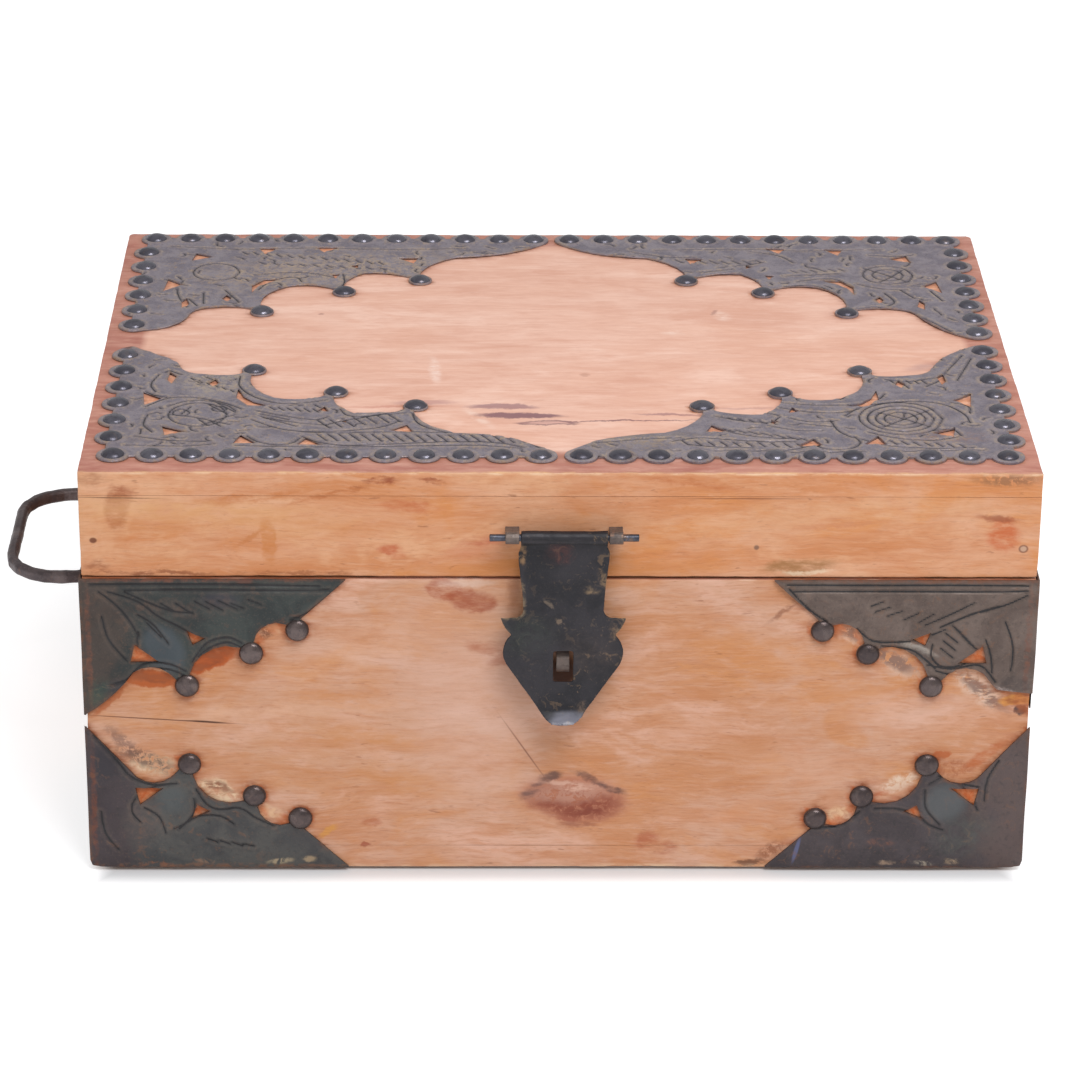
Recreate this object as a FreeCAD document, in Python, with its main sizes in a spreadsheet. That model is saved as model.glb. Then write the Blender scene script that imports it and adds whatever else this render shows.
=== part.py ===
# Wooden chest with iron corner plates, a rolled hasp and two bail handles.
# Millimetres. +Z is up, the front faces -Y, and the origin is the centre of the underside.

import FreeCAD, Part
import math
import os
import re

from FreeCAD import Placement, Rotation, Vector

os.makedirs("parts", exist_ok=True)
document = FreeCAD.newDocument("Chest")

# Driving sizes, in millimetres, degrees and counts
driving = {
    # Carcass
    "chest_width": 450.0,
    "chest_depth": 318.0,
    "chest_height": 209.0,
    "lid_height": 54.0,
    "board": 12.0,
    "top_board": 12.0,
    "floor_board": 12.0,
    "seam_gap": 0.4,
    "corner_wear": 4.0,
    "arris_wear": 1.0,
    # Sheet-iron plates and their domed studs
    "plate_iron": 0.8,
    "plate_set_back": 4.0,
    "row_inset": 14.5,
    "column_inset": 12.5,
    "corner_stud_inset": 2.5,
    "row_half_gap": 9.5,
    "left_column_half_gap": 20.0,
    "right_column_half_gap": 12.5,
    "row_studs": 12,
    "left_column_studs": 7,
    "right_column_studs": 8,
    "ring_radius": 8.0,
    "ring_root": 1.5,
    "lobe_radius": 6.6,
    "leaf_reach": 124.0,
    "leaf_gap": 6.0,
    "leaf_end_step": 0.5,
    "floor_lift": 0.6,
    "seam_lift": 0.4,
    "back_flange": 12.0,
    "stud_radius": 6.2,
    "stud_rise": 3.0,
    # Hasp, its pin and eyes, and the lock staple
    "hasp_centre": 1.6,
    "hasp_pin_drop": 28.6,
    "hasp_pin_standoff": 10.0,
    "hasp_pin_radius": 1.9,
    "hasp_pin_overhang": 7.4,
    "hasp_iron": 1.5,
    "hasp_length": 88.0,
    "hasp_half_width": 28.6,
    "hasp_shoulder": 7.0,
    "hasp_eye_gap": 0.3,
    "hasp_curl": 235.0,
    "hasp_lip": 6.2,
    "hasp_lip_angle": 50.0,
    "hasp_lip_bend": 2.5,
    "hasp_hang_angle": 3.1,
    "hasp_eye_spacing": 48.5,
    "eye_iron": 1.3,
    "eye_width": 6.8,
    "eye_clinch": 7.0,
    "slot_drop": 66.2,
    "slot_play_across": 1.2,
    "slot_play_above": 1.5,
    "staple_gap": 0.65,
    "staple_height": 12.3,
    "staple_iron": 1.5,
    "staple_width": 6.5,
    "running_clearance": 0.08,
    "leg_clearance": 0.15,
    # Bail handles and their eyes
    "bail_height": 104.5,
    "bail_reach": 40.0,
    "bail_bar_width": 6.0,
    "bail_bar_height": 7.0,
    "bail_bar_bevel": 1.6,
    "bail_corner": 25.0,
    "bail_neck_corner": 5.5,
    "bail_tip_radius": 2.8,
    "bail_tip_overhang": 2.7,
    "bail_shoulder_gap": 0.5,
    "bail_flare": 3.2,
    "bail_pivot_standoff": 8.0,
    "bail_eye_spacing": 80.0,
    # Strap hinges on the back
    "hinge_spacing": 150.0,
    "hinge_pin_radius": 2.0,
    "hinge_pin_overhang": 1.5,
    "hinge_iron": 1.5,
    "hinge_width": 30.0,
    "hinge_leaf": 40.0,
    "hinge_leaf_end": 16.0,
    "hinge_knuckle": 11.0,
    "hinge_gap": 0.4,
    "hinge_play": 0.12,
    "hinge_curl": 290.0,
    "nail_radius": 3.0,
    "nail_rise": 1.2,
    # One overrun for every cut and trimming block
    "overrun": 5.0,
}

sheet = document.addObject("Spreadsheet::Sheet", "Sizes")
for row, (alias, value) in enumerate(driving.items(), start=1):
    sheet.set(f"A{row}", alias)
    sheet.set(f"B{row}", str(value))
    sheet.setAlias(f"B{row}", alias)
document.recompute()


def size(alias):
    return float(sheet.get(alias))


def bind(thing, **properties):
    """Bind properties to expressions written in the sheet's own words."""
    for name, words in properties.items():
        expression = re.sub(r"\b([a-z][a-z_]+)\b", r"Sizes.\1", words)
        thing.setExpression(name.replace("__", "."), expression)
    return thing


subparts = []


def node(thing, label):
    thing.Label = label
    subparts.append(thing)
    return thing


# Helpers for blocks, profiles and what is made of them

def block(name, across, deep, high):
    """A box between pairs of (low, high) expressions along X, Y and Z."""
    thing = document.addObject("Part::Box", name)
    sides = zip((across, deep, high), ("Length", "Width", "Height"), "xyz")
    for (low, top), length, place in sides:
        bind(thing, **{length: f"({top}) - ({low})", f"Placement__Base__{place}": low})
    return thing


def profile(name, edges, placement):
    """A sketch of closed outlines, drawn from sizes worked out beforehand."""
    sketch = document.addObject("Sketcher::SketchObject", name)
    sketch.addGeometry(edges, False)
    sketch.Placement = placement
    return sketch


def extrude(name, sketch, length, centred=False):
    thing = document.addObject("Part::Extrusion", name)
    thing.Base = sketch
    thing.DirMode = "Normal"
    thing.Solid = True
    thing.Symmetric = centred
    thing.FaceMakerClass = "Part::FaceMakerBullseye"
    return bind(thing, LengthFwd=length)


def cut(name, base, tool):
    thing = document.addObject("Part::Cut", name)
    thing.Base = base
    thing.Tool = tool
    return thing


def fuse(name, pieces):
    thing = document.addObject("Part::MultiFuse", name)
    thing.Shapes = pieces
    thing.Refine = True
    return thing


def common(name, pieces):
    thing = document.addObject("Part::MultiCommon", name)
    thing.Shapes = pieces
    return thing


def mirrored(name, source, normal, base=Vector()):
    thing = document.addObject("Part::Mirroring", name)
    thing.Source = source
    thing.Normal = normal
    thing.Base = base
    return thing


def polar(centre, radius, degrees):
    angle = math.radians(degrees)
    return centre + Vector(radius * math.cos(angle), radius * math.sin(angle), 0)


def chain(points):
    return [Part.LineSegment(a, b) for a, b in zip(points, points[1:])]


def loop(points):
    return chain(list(points) + [points[0]])


def lobe(centre, radius, start, end, cuts):
    """Points of a round end that the smith cut in a few straight strokes."""
    return [polar(centre, radius, start + (end - start) * k / cuts) for k in range(cuts + 1)]


RIGHT, BACK, UP = Vector(1, 0, 0), Vector(0, 1, 0), Vector(0, 0, 1)
half_width = size("chest_width") / 2
half_depth = size("chest_depth") / 2
seam = size("chest_height") - size("lid_height")

# Carcass boards: the front and back boards run the full width over the end boards,
# and the top and floor boards lie over and under all four walls

LEFT_FACE, RIGHT_FACE = "-chest_width / 2", "chest_width / 2"
FRONT_FACE, BACK_FACE = "-chest_depth / 2", "chest_depth / 2"
SEAM, LID_RIM = "chest_height - lid_height", "chest_height - lid_height + seam_gap"
FRONT = (FRONT_FACE, FRONT_FACE + " + board")
REAR = (BACK_FACE + " - board", BACK_FACE)
LEFT = (LEFT_FACE, LEFT_FACE + " + board")
RIGHT_END = (RIGHT_FACE + " - board", RIGHT_FACE)
FULL_WIDTH, FULL_DEPTH = (LEFT_FACE, RIGHT_FACE), (FRONT_FACE, BACK_FACE)
BETWEEN = (FRONT[1], REAR[0])
BODY_WALL = ("floor_board", SEAM)
LID_WALL = (LID_RIM, "chest_height - top_board")


def worn(name, blank, top_edges):
    """Round a board's upright corners and, on the lid, break its upper edges."""
    box = blank.Shape
    rounded = document.addObject("Part::Fillet", name + "_rounded")
    rounded.Base = blank
    radius = size("corner_wear")
    rounded.Edges = [(index, radius, radius) for index, edge in enumerate(box.Edges, start=1)
                     if edge.BoundBox.ZLength > size("board") / 2]
    if not top_edges:
        return rounded
    document.recompute()
    top = rounded.Shape.BoundBox.ZMax
    eased = document.addObject("Part::Chamfer", name + "_eased")
    eased.Base = rounded
    wear = size("arris_wear")
    eased.Edges = [(index, wear, wear) for index, edge in enumerate(rounded.Shape.Edges, start=1)
                   if math.isclose(edge.BoundBox.ZMin, top)]
    return eased


top_blank = block("top_blank", FULL_WIDTH, FULL_DEPTH, ("chest_height - top_board", "chest_height"))
floor_blank = block("floor_blank", FULL_WIDTH, FULL_DEPTH, ("0", "floor_board"))
document.recompute()
node(worn("top", top_blank, True), "lid_top_board")
node(worn("floor", floor_blank, False), "bottom_board")

boards = {
    "body_front_board": block("front_blank", FULL_WIDTH, FRONT, BODY_WALL),
    "body_back_board": block("back_blank", FULL_WIDTH, REAR, BODY_WALL),
    "body_left_board": block("left_blank", LEFT, BETWEEN, BODY_WALL),
    "body_right_board": block("right_blank", RIGHT_END, BETWEEN, BODY_WALL),
    "lid_front_board": block("lid_front_blank", FULL_WIDTH, FRONT, LID_WALL),
    "lid_back_board": block("lid_back_blank", FULL_WIDTH, REAR, LID_WALL),
    "lid_left_board": block("lid_left_blank", LEFT, BETWEEN, LID_WALL),
    "lid_right_board": block("lid_right_blank", RIGHT_END, BETWEEN, LID_WALL),
}
for plain in ("body_back_board", "lid_back_board", "lid_left_board", "lid_right_board"):
    node(boards[plain], plain)

# Pierced and scalloped plates on the lid: one is drawn from the middle of the plate set
# towards its corner, and the other three are its mirror images

column_x = half_width - size("column_inset")
row_y = half_depth - size("row_inset")
corner_x = column_x - size("corner_stud_inset")


def spread(first, last, count):
    """Evenly spaced distances from the first to the last."""
    pitch = (last - first) / (count - 1)
    return [first + pitch * k for k in range(count)]


row_places = [Vector(x, row_y, 0) for x in spread(size("row_half_gap"), corner_x, int(size("row_studs")))]
column_places = {}
for side in ("left", "right"):
    steps = spread(size(f"{side}_column_half_gap"), row_y, int(size(f"{side}_column_studs")))
    column_places[side] = [Vector(column_x, y, 0) for y in steps[:-1]]

# Shares of the corner stud's column and row distances
inner_stud_shares = [(0.701, 0.272), (0.508, 0.467), (0.325, 0.585)]
inner_edge_shares = [
    [((0.918, 0.125), (0.871, 0.251)), ((0.852, 0.293), (0.819, 0.312)), ((0.758, 0.318), None)],
    [((0.694, 0.432), (0.645, 0.519)), ((0.598, 0.533), None)],
    [((0.499, 0.585), (0.461, 0.655)), ((0.405, 0.652), None)],
    [((0.303, 0.728), (0.235, 0.815)), ((0.165, 0.833), (0.104, 0.864)), ((0.052, 0.916), None)],
]
piercing_shares = [
    [(0.876, 0.332), (0.893, 0.302), (0.896, 0.365), (0.885, 0.395)],
    [(0.786, 0.359), (0.800, 0.390), (0.790, 0.425), (0.776, 0.395)],
    [(0.946, 0.470), (0.900, 0.530), (0.938, 0.585)],
    [(0.730, 0.447), (0.715, 0.512), (0.691, 0.556), (0.653, 0.589), (0.703, 0.585), (0.732, 0.520)],
    [(0.889, 0.770), (0.835, 0.812), (0.880, 0.845)],
    [(0.711, 0.840), (0.727, 0.905), (0.676, 0.905)],
    [(0.565, 0.862), (0.585, 0.915), (0.526, 0.920)],
    [(0.530, 0.598), (0.545, 0.635), (0.520, 0.640)],
    [(0.478, 0.705), (0.496, 0.720), (0.478, 0.738)],
    [(0.342, 0.748), (0.381, 0.802), (0.328, 0.806)],
]
ring_cuts, lobe_cuts, scallop_cuts = 4, 6, 5
lobe_in, lobe_out = 42.0, -277.0
end_ring_in, end_ring_out = 215.0, -130.0
quarter_turn, half_turn, full_turn = 90.0, 180.0, 360.0


def on_plate(shares):
    return Vector(shares[0] * column_x, shares[1] * row_y, 0)


def scallops(start, runs, finish, place):
    """Arcs through (middle, end) pairs of places, snipped in short cuts; the last ends at finish."""
    made = []
    for middle, end in runs:
        stop = finish if end is None else place(end)
        made += chain(Part.Arc(start, place(middle), stop).discretize(Number=scallop_cuts + 1))
        start = stop
    return made


def lid_plate_edges(column):
    """The outline and piercings of the back right plate, given its column of studs."""
    radius, root = size("ring_radius"), size("ring_root")
    small = size("lobe_radius")
    dip = math.degrees(math.asin(root / radius))
    past = math.degrees(math.acos((root + size("corner_stud_inset")) / radius))
    rings = [lobe(row_places[0], radius, end_ring_in, dip, ring_cuts + 2)]
    rings += [lobe(place, radius, half_turn - dip, dip, ring_cuts) for place in row_places[1:-1]]
    rings += [lobe(row_places[-1], radius, half_turn - dip, -past, ring_cuts + 3)]
    rings += [lobe(place, radius, quarter_turn - dip, dip - quarter_turn, ring_cuts)
              for place in reversed(column[1:])]
    rings += [lobe(column[0], radius, quarter_turn - dip, end_ring_out, ring_cuts + 2)]
    border = [point for ring in rings for point in ring]
    lobes = [lobe(on_plate(shares), small, lobe_in, lobe_out, lobe_cuts)
             for shares in inner_stud_shares]
    edges = chain(border)
    start = border[-1]
    for runs, ending in zip(inner_edge_shares, lobes + [border[:1]]):
        edges += scallops(start, runs, ending[0], on_plate) + chain(ending)
        start = ending[-1]
    for shares in piercing_shares:
        edges += loop([on_plate(share) for share in shares])
    return edges


set_centre = Vector(0, size("plate_set_back"), 0)
lid_top = Vector(0, 0, size("chest_height"))
for side, column in column_places.items():
    outline = profile(f"lid_plate_{side}_outline", lid_plate_edges(column),
                      Placement(set_centre + lid_top, Rotation()))
    plate = extrude(f"lid_plate_{side}", outline, "plate_iron")
    if side == "left":
        plate = mirrored("lid_plate_turned", plate, RIGHT)
    node(plate, f"lid_plate_back_{side}")
    node(mirrored(f"lid_plate_{side}_front", plate, BACK, set_centre), f"lid_plate_front_{side}")

# Plates on the body's corners: each wraps its upright edge, with a pierced leaf on each face

leaf_stud_shares = [(0.812, 0.365), (0.635, 0.527), (0.387, 0.757)]
leaf_edge_shares = [
    [((0.702, 0.325), None)],
    [((0.484, 0.500), None)],
    [((0.266, 0.625), (0.185, 0.662)), ((0.100, 0.830), None)],
]
leaf_piercing_shares = [
    [(0.194, 0.466), (0.286, 0.588), (0.177, 0.588)],
    [(0.395, 0.370), (0.464, 0.420), (0.415, 0.466)],
]
leaf_lobe_in, leaf_lobe_out, leaf_lobe_cuts = -75.0, 212.0, 5


# The two leaves of a corner share the body's height, the lower one a little the taller
leaf_room = seam - size("leaf_gap")
mean_leaf_share, upper_leaf_share = 0.50, 0.483
upper_leaf_tip = leaf_room * upper_leaf_share
lower_leaf_tip = leaf_room - upper_leaf_tip


def on_leaf(shares):
    return Vector(shares[0] * size("leaf_reach"), shares[1] * leaf_room * mean_leaf_share, 0)


def leaf_edges(tip, lift):
    """One leaf, from the board's edge (v = lift) and the corner's outer side (u = -iron)."""
    iron = size("plate_iron")
    low = Vector(-iron, lift, 0)
    high = Vector(-iron, tip, 0)
    reach = Vector(size("leaf_reach"), lift, 0)
    small = size("lobe_radius")
    lobes = [lobe(on_leaf(shares), small, leaf_lobe_in, leaf_lobe_out, leaf_lobe_cuts)
             for shares in leaf_stud_shares]
    step = Vector(0, size("leaf_end_step"), 0)
    edges = chain([low, reach, reach + step, lobes[0][0]]) + chain(lobes[0])
    start = lobes[0][-1]
    for runs, ending in zip(leaf_edge_shares, lobes[1:] + [[high]]):
        edges += scallops(start, runs, ending[0], on_leaf) + chain(ending)
        start = ending[-1]
    edges += chain([high, low])
    for shares in leaf_piercing_shares:
        edges += loop([on_leaf(share) for share in shares])
    return edges


def leaf_places(down):
    """Where a front leaf and a left side leaf lie, measured down from the seam or up from the floor."""
    level = Vector(0, 0, seam if down else 0)
    way = -UP if down else UP
    outward = RIGHT.cross(way)
    front = Vector(-half_width, -half_depth, 0) + level
    return {
        "front": Placement(front, Rotation(RIGHT, way, outward, "XYZ")),
        "side": Placement(front, Rotation(BACK, way, BACK.cross(way), "XYZ")),
    }


LEAF_ROOM = f"{SEAM} - leaf_gap"
heights = {
    "upper": (True, upper_leaf_tip, size("seam_lift")),
    "lower": (False, lower_leaf_tip, size("floor_lift")),
}
for level, (down, tip, lift) in heights.items():
    leaves = {}
    for face, placement in leaf_places(down).items():
        sketch = profile(f"{level}_{face}_outline", leaf_edges(tip, lift), placement)
        leaves[face] = extrude(f"{level}_{face}_leaf", sketch, "plate_iron")
        normal = placement.Rotation.multVec(UP)
        outwards = -BACK if face == "front" else -RIGHT
        leaves[face].Reversed = normal.dot(outwards) < 0
    front_left = node(fuse(f"{level}_wrap", list(leaves.values())),
                      f"corner_plate_front_left_{level}")
    side_back = mirrored(f"{level}_side_back", leaves["side"], BACK)
    if down:
        span = (f"{SEAM} - ({LEAF_ROOM}) * {upper_leaf_share}", f"{SEAM} - seam_lift")
    else:
        span = ("floor_lift", f"({LEAF_ROOM}) * (1 - {upper_leaf_share})")
    flange = block(f"{level}_flange", (f"{LEFT_FACE} - plate_iron", f"{LEFT_FACE} + back_flange"),
                   (BACK_FACE, f"{BACK_FACE} + plate_iron"), span)
    back_left = node(fuse(f"{level}_back_wrap", [side_back, flange]),
                     f"corner_plate_back_left_{level}")
    node(mirrored(f"{level}_wrap_r", front_left, RIGHT), f"corner_plate_front_right_{level}")
    node(mirrored(f"{level}_back_wrap_r", back_left, RIGHT), f"corner_plate_back_right_{level}")

# Domed stud and nail heads, hammered to a few flats

shoulder_radius_share, shoulder_rise_share = 0.70, 0.68
stud_flat_count, nail_flat_count = 7, 5


def head(radius, rise, flat_count):
    """One head, its flat underside at the origin and its facetted dome towards +Z."""
    turns = [full_turn * k / flat_count for k in range(flat_count)]
    rim = [polar(Vector(), radius, turn) for turn in turns]
    level = UP * rise * shoulder_rise_share
    shoulder = [polar(level, radius * shoulder_radius_share, turn) for turn in turns]
    faces = [rim]
    for k in range(flat_count):
        after = (k + 1) % flat_count
        faces.append([rim[k], rim[after], shoulder[after], shoulder[k]])
        faces.append([shoulder[k], shoulder[after], UP * rise])
    shell = Part.makeShell([Part.Face(Part.makePolygon(points + points[:1])) for points in faces])
    return Part.makeSolid(shell)


def heads(label, radius, rise, flat_count, places):
    """A group of separate heads; each place is where one sits and the way it faces."""
    single = head(size(radius), size(rise), flat_count)
    solids = []
    for spot, facing in places:
        copy = single.copy()
        copy.Placement = Placement(spot, Rotation(UP, facing))
        solids.append(copy)
    group = document.addObject("Part::Feature", label)
    group.Shape = Part.makeCompound(solids)
    return node(group, label)


def mirror_places(places, normal, base=Vector()):
    """The same places on the other side of a plane."""
    return [(spot - normal * 2 * (spot - base).dot(normal), facing - normal * 2 * facing.dot(normal))
            for spot, facing in places]


iron = size("plate_iron")
inner_places = [on_plate(shares) for shares in inner_stud_shares]
for side, column in column_places.items():
    places = [(set_centre + lid_top + UP * iron + spot, UP)
              for spot in row_places + column + inner_places]
    if side == "left":
        places = mirror_places(places, RIGHT)
    heads(f"lid_studs_back_{side}", "stud_radius", "stud_rise", stud_flat_count, places)
    heads(f"lid_studs_front_{side}", "stud_radius", "stud_rise", stud_flat_count,
          mirror_places(places, BACK, set_centre))

front_places, side_places = [], []
for down in (True, False):
    for face, placement in leaf_places(down).items():
        outwards = -BACK if face == "front" else -RIGHT
        spots = [placement.multVec(on_leaf(shares)) + outwards * iron for shares in leaf_stud_shares]
        group = front_places if face == "front" else side_places
        group += [(spot, outwards) for spot in spots]
face_places = {
    "front": front_places + mirror_places(front_places, RIGHT),
    "left_side": side_places + mirror_places(side_places, BACK),
}
face_places["right_side"] = mirror_places(face_places["left_side"], RIGHT)
for face, places in face_places.items():
    heads(f"{face}_studs", "stud_radius", "stud_rise", stud_flat_count, places)

# Sheet iron rolled round a pin, and strip bent to an eye or a staple, all hammered in flats
# that keep the clearance from the pin. Profiles have x away from the wood and y along its face.

roll_cuts, eye_cuts, bow_cuts = 8, 9, 6


def wrapped(radius, curl):
    """Corners of flats at a radius round the pin, which carry on from a sheet at -radius."""
    step = curl / (roll_cuts + 1 / 2)
    corner = radius / math.cos(math.radians(step / 2))
    return [polar(Vector(), corner, half_turn - step * (k + 1 / 2)) for k in range(roll_cuts + 1)]


def rolled_edges(bore, thick, length, curl, lip=None):
    """Flat sheet on the wood's side of a pin, rolled over the pin by the curl angle."""
    outer = bore + thick
    inner_foot, outer_foot = Vector(-bore, -length, 0), Vector(-outer, -length, 0)
    sheet = [outer_foot] + wrapped(outer, curl) + wrapped(bore, curl)[::-1] + [inner_foot]
    if lip is None:
        return loop(sheet)
    reach, angle, bend = lip
    centre = Vector(-bore + bend, -length, 0)
    rays = [polar(Vector(), 1, half_turn + angle * share) for share in (0, 0.5, 1)]
    away = Vector(-rays[2].y, rays[2].x, 0) * reach
    inside = [centre + ray * bend for ray in rays]
    outside = [centre + ray * (bend + thick) for ray in rays]
    return chain(sheet) + [
        Part.Arc(*inside),
        Part.LineSegment(inside[2], inside[2] + away),
        Part.LineSegment(inside[2] + away, outside[2] + away),
        Part.LineSegment(outside[2] + away, outside[2]),
        Part.Arc(*reversed(outside)),
    ]


def eye_edges(bore, thick, depth, clinch):
    """Strip bent round a bore, its two legs side by side through the wood and spread behind it."""
    outer = bore + thick
    neck = math.degrees(math.asin(thick / outer))
    ring = lobe(Vector(), outer, neck - half_turn, half_turn - neck, eye_cuts)
    behind = -depth - thick
    legs = [Vector(-depth, thick, 0), Vector(-depth, clinch, 0), Vector(behind, clinch, 0)]
    legs += [Vector(point.x, -point.y, 0) for point in reversed(legs)]
    corner = bore / math.cos(math.pi / eye_cuts)
    hole = [polar(Vector(), corner, full_turn * k / eye_cuts) for k in range(eye_cuts)]
    return loop(ring + legs) + loop(hole)


def staple_edges(reach, height, thick, depth, clinch):
    """A U of strip driven through the wood, with its legs spread flat behind."""
    out, mid = height / 2, height / 2 - thick
    nose = Vector(reach - out, 0, 0)
    behind = -depth - thick
    bow = lobe(nose, out, -quarter_turn, quarter_turn, bow_cuts)
    hollow = lobe(nose, mid, quarter_turn, -quarter_turn, bow_cuts)
    upper = [Vector(-depth, out, 0), Vector(-depth, out + clinch, 0),
             Vector(behind, out + clinch, 0), Vector(behind, mid, 0)]
    lower = [Vector(point.x, -point.y, 0) for point in reversed(upper)]
    return loop(bow + upper + hollow + lower)


# Which way the profiles' x and y point on each face of the chest
on_front = Rotation(-BACK, UP, -RIGHT, "XYZ")
on_left = Rotation(-RIGHT, UP, BACK, "XYZ")
on_right = Rotation(RIGHT, UP, -BACK, "XYZ")
on_back = Rotation(BACK, UP, RIGHT, "XYZ")
on_back_upturned = Rotation(BACK, -UP, -RIGHT, "XYZ")

# Hasp: its front outline and its rolled side profile meet in one bent plate

hasp_bore = size("hasp_pin_radius") + size("running_clearance")
pin_place = Vector(size("hasp_centre"), -half_depth - size("hasp_pin_standoff"),
                   size("chest_height") - size("hasp_pin_drop"))
hasp_edge_shares = [
    ((0.692, -0.250), (0.675, -0.410)),
    ((0.700, -0.452), (0.840, -0.466)),
    ((0.940, -0.470), (1.040, -0.469)),
    ((0.965, -0.530), (0.860, -0.568)),
    ((1.000, -0.664), (0.910, -0.757)),
]
hasp_tip_share = 0.415


def hasp_outline():
    """Half of the outline is drawn by shares of the half width and the length, then mirrored."""
    wide, long = size("hasp_half_width"), size("hasp_length")
    knuckle = (size("hasp_eye_spacing") - size("eye_width")) / 2 - size("hasp_eye_gap")
    head_top = hasp_bore + size("hasp_iron") + size("overrun")
    tip = wide * hasp_tip_share

    def place(shares):
        return Vector(shares[0] * wide, shares[1] * long, 0)

    def left(point):
        return Vector(-point.x, point.y, 0)

    shoulder = Vector(knuckle, -size("hasp_shoulder"), 0)
    corner = Vector(tip, -long, 0)
    end = Vector(0, -long - size("hasp_lip") - size("hasp_iron") / 2, 0)
    runs = [[shoulder] + [place(shares) for shares in hasp_edge_shares[0]]]
    for middle, stop in hasp_edge_shares[1:]:
        runs.append([runs[-1][-1], place(middle), place(stop)])
    top = [Vector(-knuckle, head_top, 0), Vector(knuckle, head_top, 0)]
    edges = chain([left(shoulder)] + top + [shoulder])
    for start, middle, stop in runs:
        edges += [Part.Arc(start, middle, stop), Part.Arc(left(stop), left(middle), left(start))]
    edges += chain([runs[-1][-1], corner]) + chain([left(corner), left(runs[-1][-1])])
    edges.append(Part.Arc(corner, end, left(corner)))
    slot = size("staple_width") / 2 + size("slot_play_across")
    rise = size("staple_height") / 2 + size("slot_play_above")
    middle = Vector(0, -size("slot_drop"), 0)
    corners = [Vector(-slot, -rise, 0), Vector(slot, -rise, 0), Vector(slot, rise, 0), Vector(-slot, rise, 0)]
    return edges + loop([middle + point for point in corners])


lip = (size("hasp_lip"), size("hasp_lip_angle"), size("hasp_lip_bend"))
face_on = Placement(Vector(), Rotation(RIGHT, UP, -BACK, "XYZ"))
hasp_front = extrude("hasp_front", profile("hasp_outline", hasp_outline(), face_on),
                     "hasp_length + overrun", centred=True)
hasp_rolled = rolled_edges(hasp_bore, size("hasp_iron"), size("hasp_length"), size("hasp_curl"), lip)
hasp_side = extrude("hasp_side", profile("hasp_profile", hasp_rolled, Placement(Vector(), on_front)),
                    "hasp_half_width * 3", centred=True)
hasp = node(common("hasp_bent", [hasp_front, hasp_side]), "hasp_plate")
hasp.Placement = Placement(pin_place, Rotation(-RIGHT, size("hasp_hang_angle")))


def rod(label, middle, radius, length):
    """A pin along X with its middle at a place."""
    thing = document.addObject("Part::Cylinder", label + "_rod")
    bind(thing, Radius=radius, Height=length)
    thing.recompute()
    thing.Placement = Placement(middle - RIGHT * thing.Height.Value / 2, Rotation(UP, RIGHT))
    return node(thing, label)


rod("hasp_pin", pin_place, "hasp_pin_radius", "hasp_eye_spacing + eye_width + hasp_pin_overhang * 2")


def bent_eye(label, bore, standoff, place, facing):
    depth = size(standoff) + size("board")
    edges = eye_edges(bore, size("eye_iron"), depth, size("eye_clinch"))
    sketch = profile(label + "_profile", edges, Placement(place, facing))
    return node(extrude(label + "_strip", sketch, "eye_width", centred=True), label)


def around(centre, half):
    """The span of a leg's slot about its centre."""
    return f"{centre} - ({half}) - leg_clearance", f"{centre} + ({half}) + leg_clearance"


def slotted(label, holes):
    """A board with a slot right through it for each leg of an eye or a staple."""
    tools = [block(f"{label}_slot_{index}", *hole) for index, hole in enumerate(holes)]
    return node(cut(label + "_slotted", boards[label], fuse(label + "_slots", tools)), label)


eye_offset = RIGHT * size("hasp_eye_spacing") / 2
for side, place in (("left", pin_place - eye_offset), ("right", pin_place + eye_offset)):
    bent_eye(f"hasp_eye_{side}", hasp_bore, "hasp_pin_standoff", place, on_front)

THROUGH_FRONT = (FRONT[0] + " - overrun", FRONT[1] + " + overrun")
PIN_HEIGHT = "chest_height - hasp_pin_drop"
slotted("lid_front_board", [
    (around(f"hasp_centre {sign} hasp_eye_spacing / 2", "eye_width / 2"), THROUGH_FRONT,
     around(PIN_HEIGHT, "eye_iron")) for sign in "-+"])

# Lock staple under the hasp's slot: its tip stops just behind the hanging hasp
hang = math.radians(size("hasp_hang_angle"))
hasp_behind = size("hasp_pin_standoff") + size("slot_drop") * math.sin(hang) \
    - (hasp_bore + size("hasp_iron")) * math.cos(hang)
staple_reach = hasp_behind - size("staple_gap")
staple_place = pin_place - UP * size("slot_drop")
staple_place.y = -half_depth
staple_bent = staple_edges(staple_reach, size("staple_height"), size("staple_iron"), size("board"),
                           size("eye_clinch"))
staple_profile = profile("staple_profile", staple_bent, Placement(staple_place, on_front))
node(extrude("staple", staple_profile, "staple_width", centred=True), "lock_staple")
slotted("body_front_board", [
    (around("hasp_centre", "staple_width / 2"), THROUGH_FRONT,
     around(f"{PIN_HEIGHT} - slot_drop {sign} (staple_height - staple_iron) / 2", "staple_iron / 2"))
    for sign in "-+"])

# Bail handles: a forged bar, bevelled to eight flats and bent in short straight stages, with
# round tips turned in through two eyes. Drawn with x away from the wood and y along the pivot.

neck_cut_count, corner_cut_count = 3, 5


def bent_path(corners, bends):
    """Straight runs whose corners are rounded in (radius, cuts) stages."""
    points = [corners[0]]
    for before, corner, after, (radius, cuts) in zip(corners, corners[1:], corners[2:], bends):
        to, away = (before - corner).normalize(), (after - corner).normalize()
        half = to.getAngle(away) / 2
        centre = corner + (to + away).normalize() * (radius / math.sin(half))
        arm = corner + to * (radius / math.tan(half)) - centre
        turn = half_turn - math.degrees(half) * 2
        axis = away.cross(to)
        points += [centre + Rotation(axis, turn * k / cuts).multVec(arm) for k in range(cuts + 1)]
    return chain(points + [corners[-1]])


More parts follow.
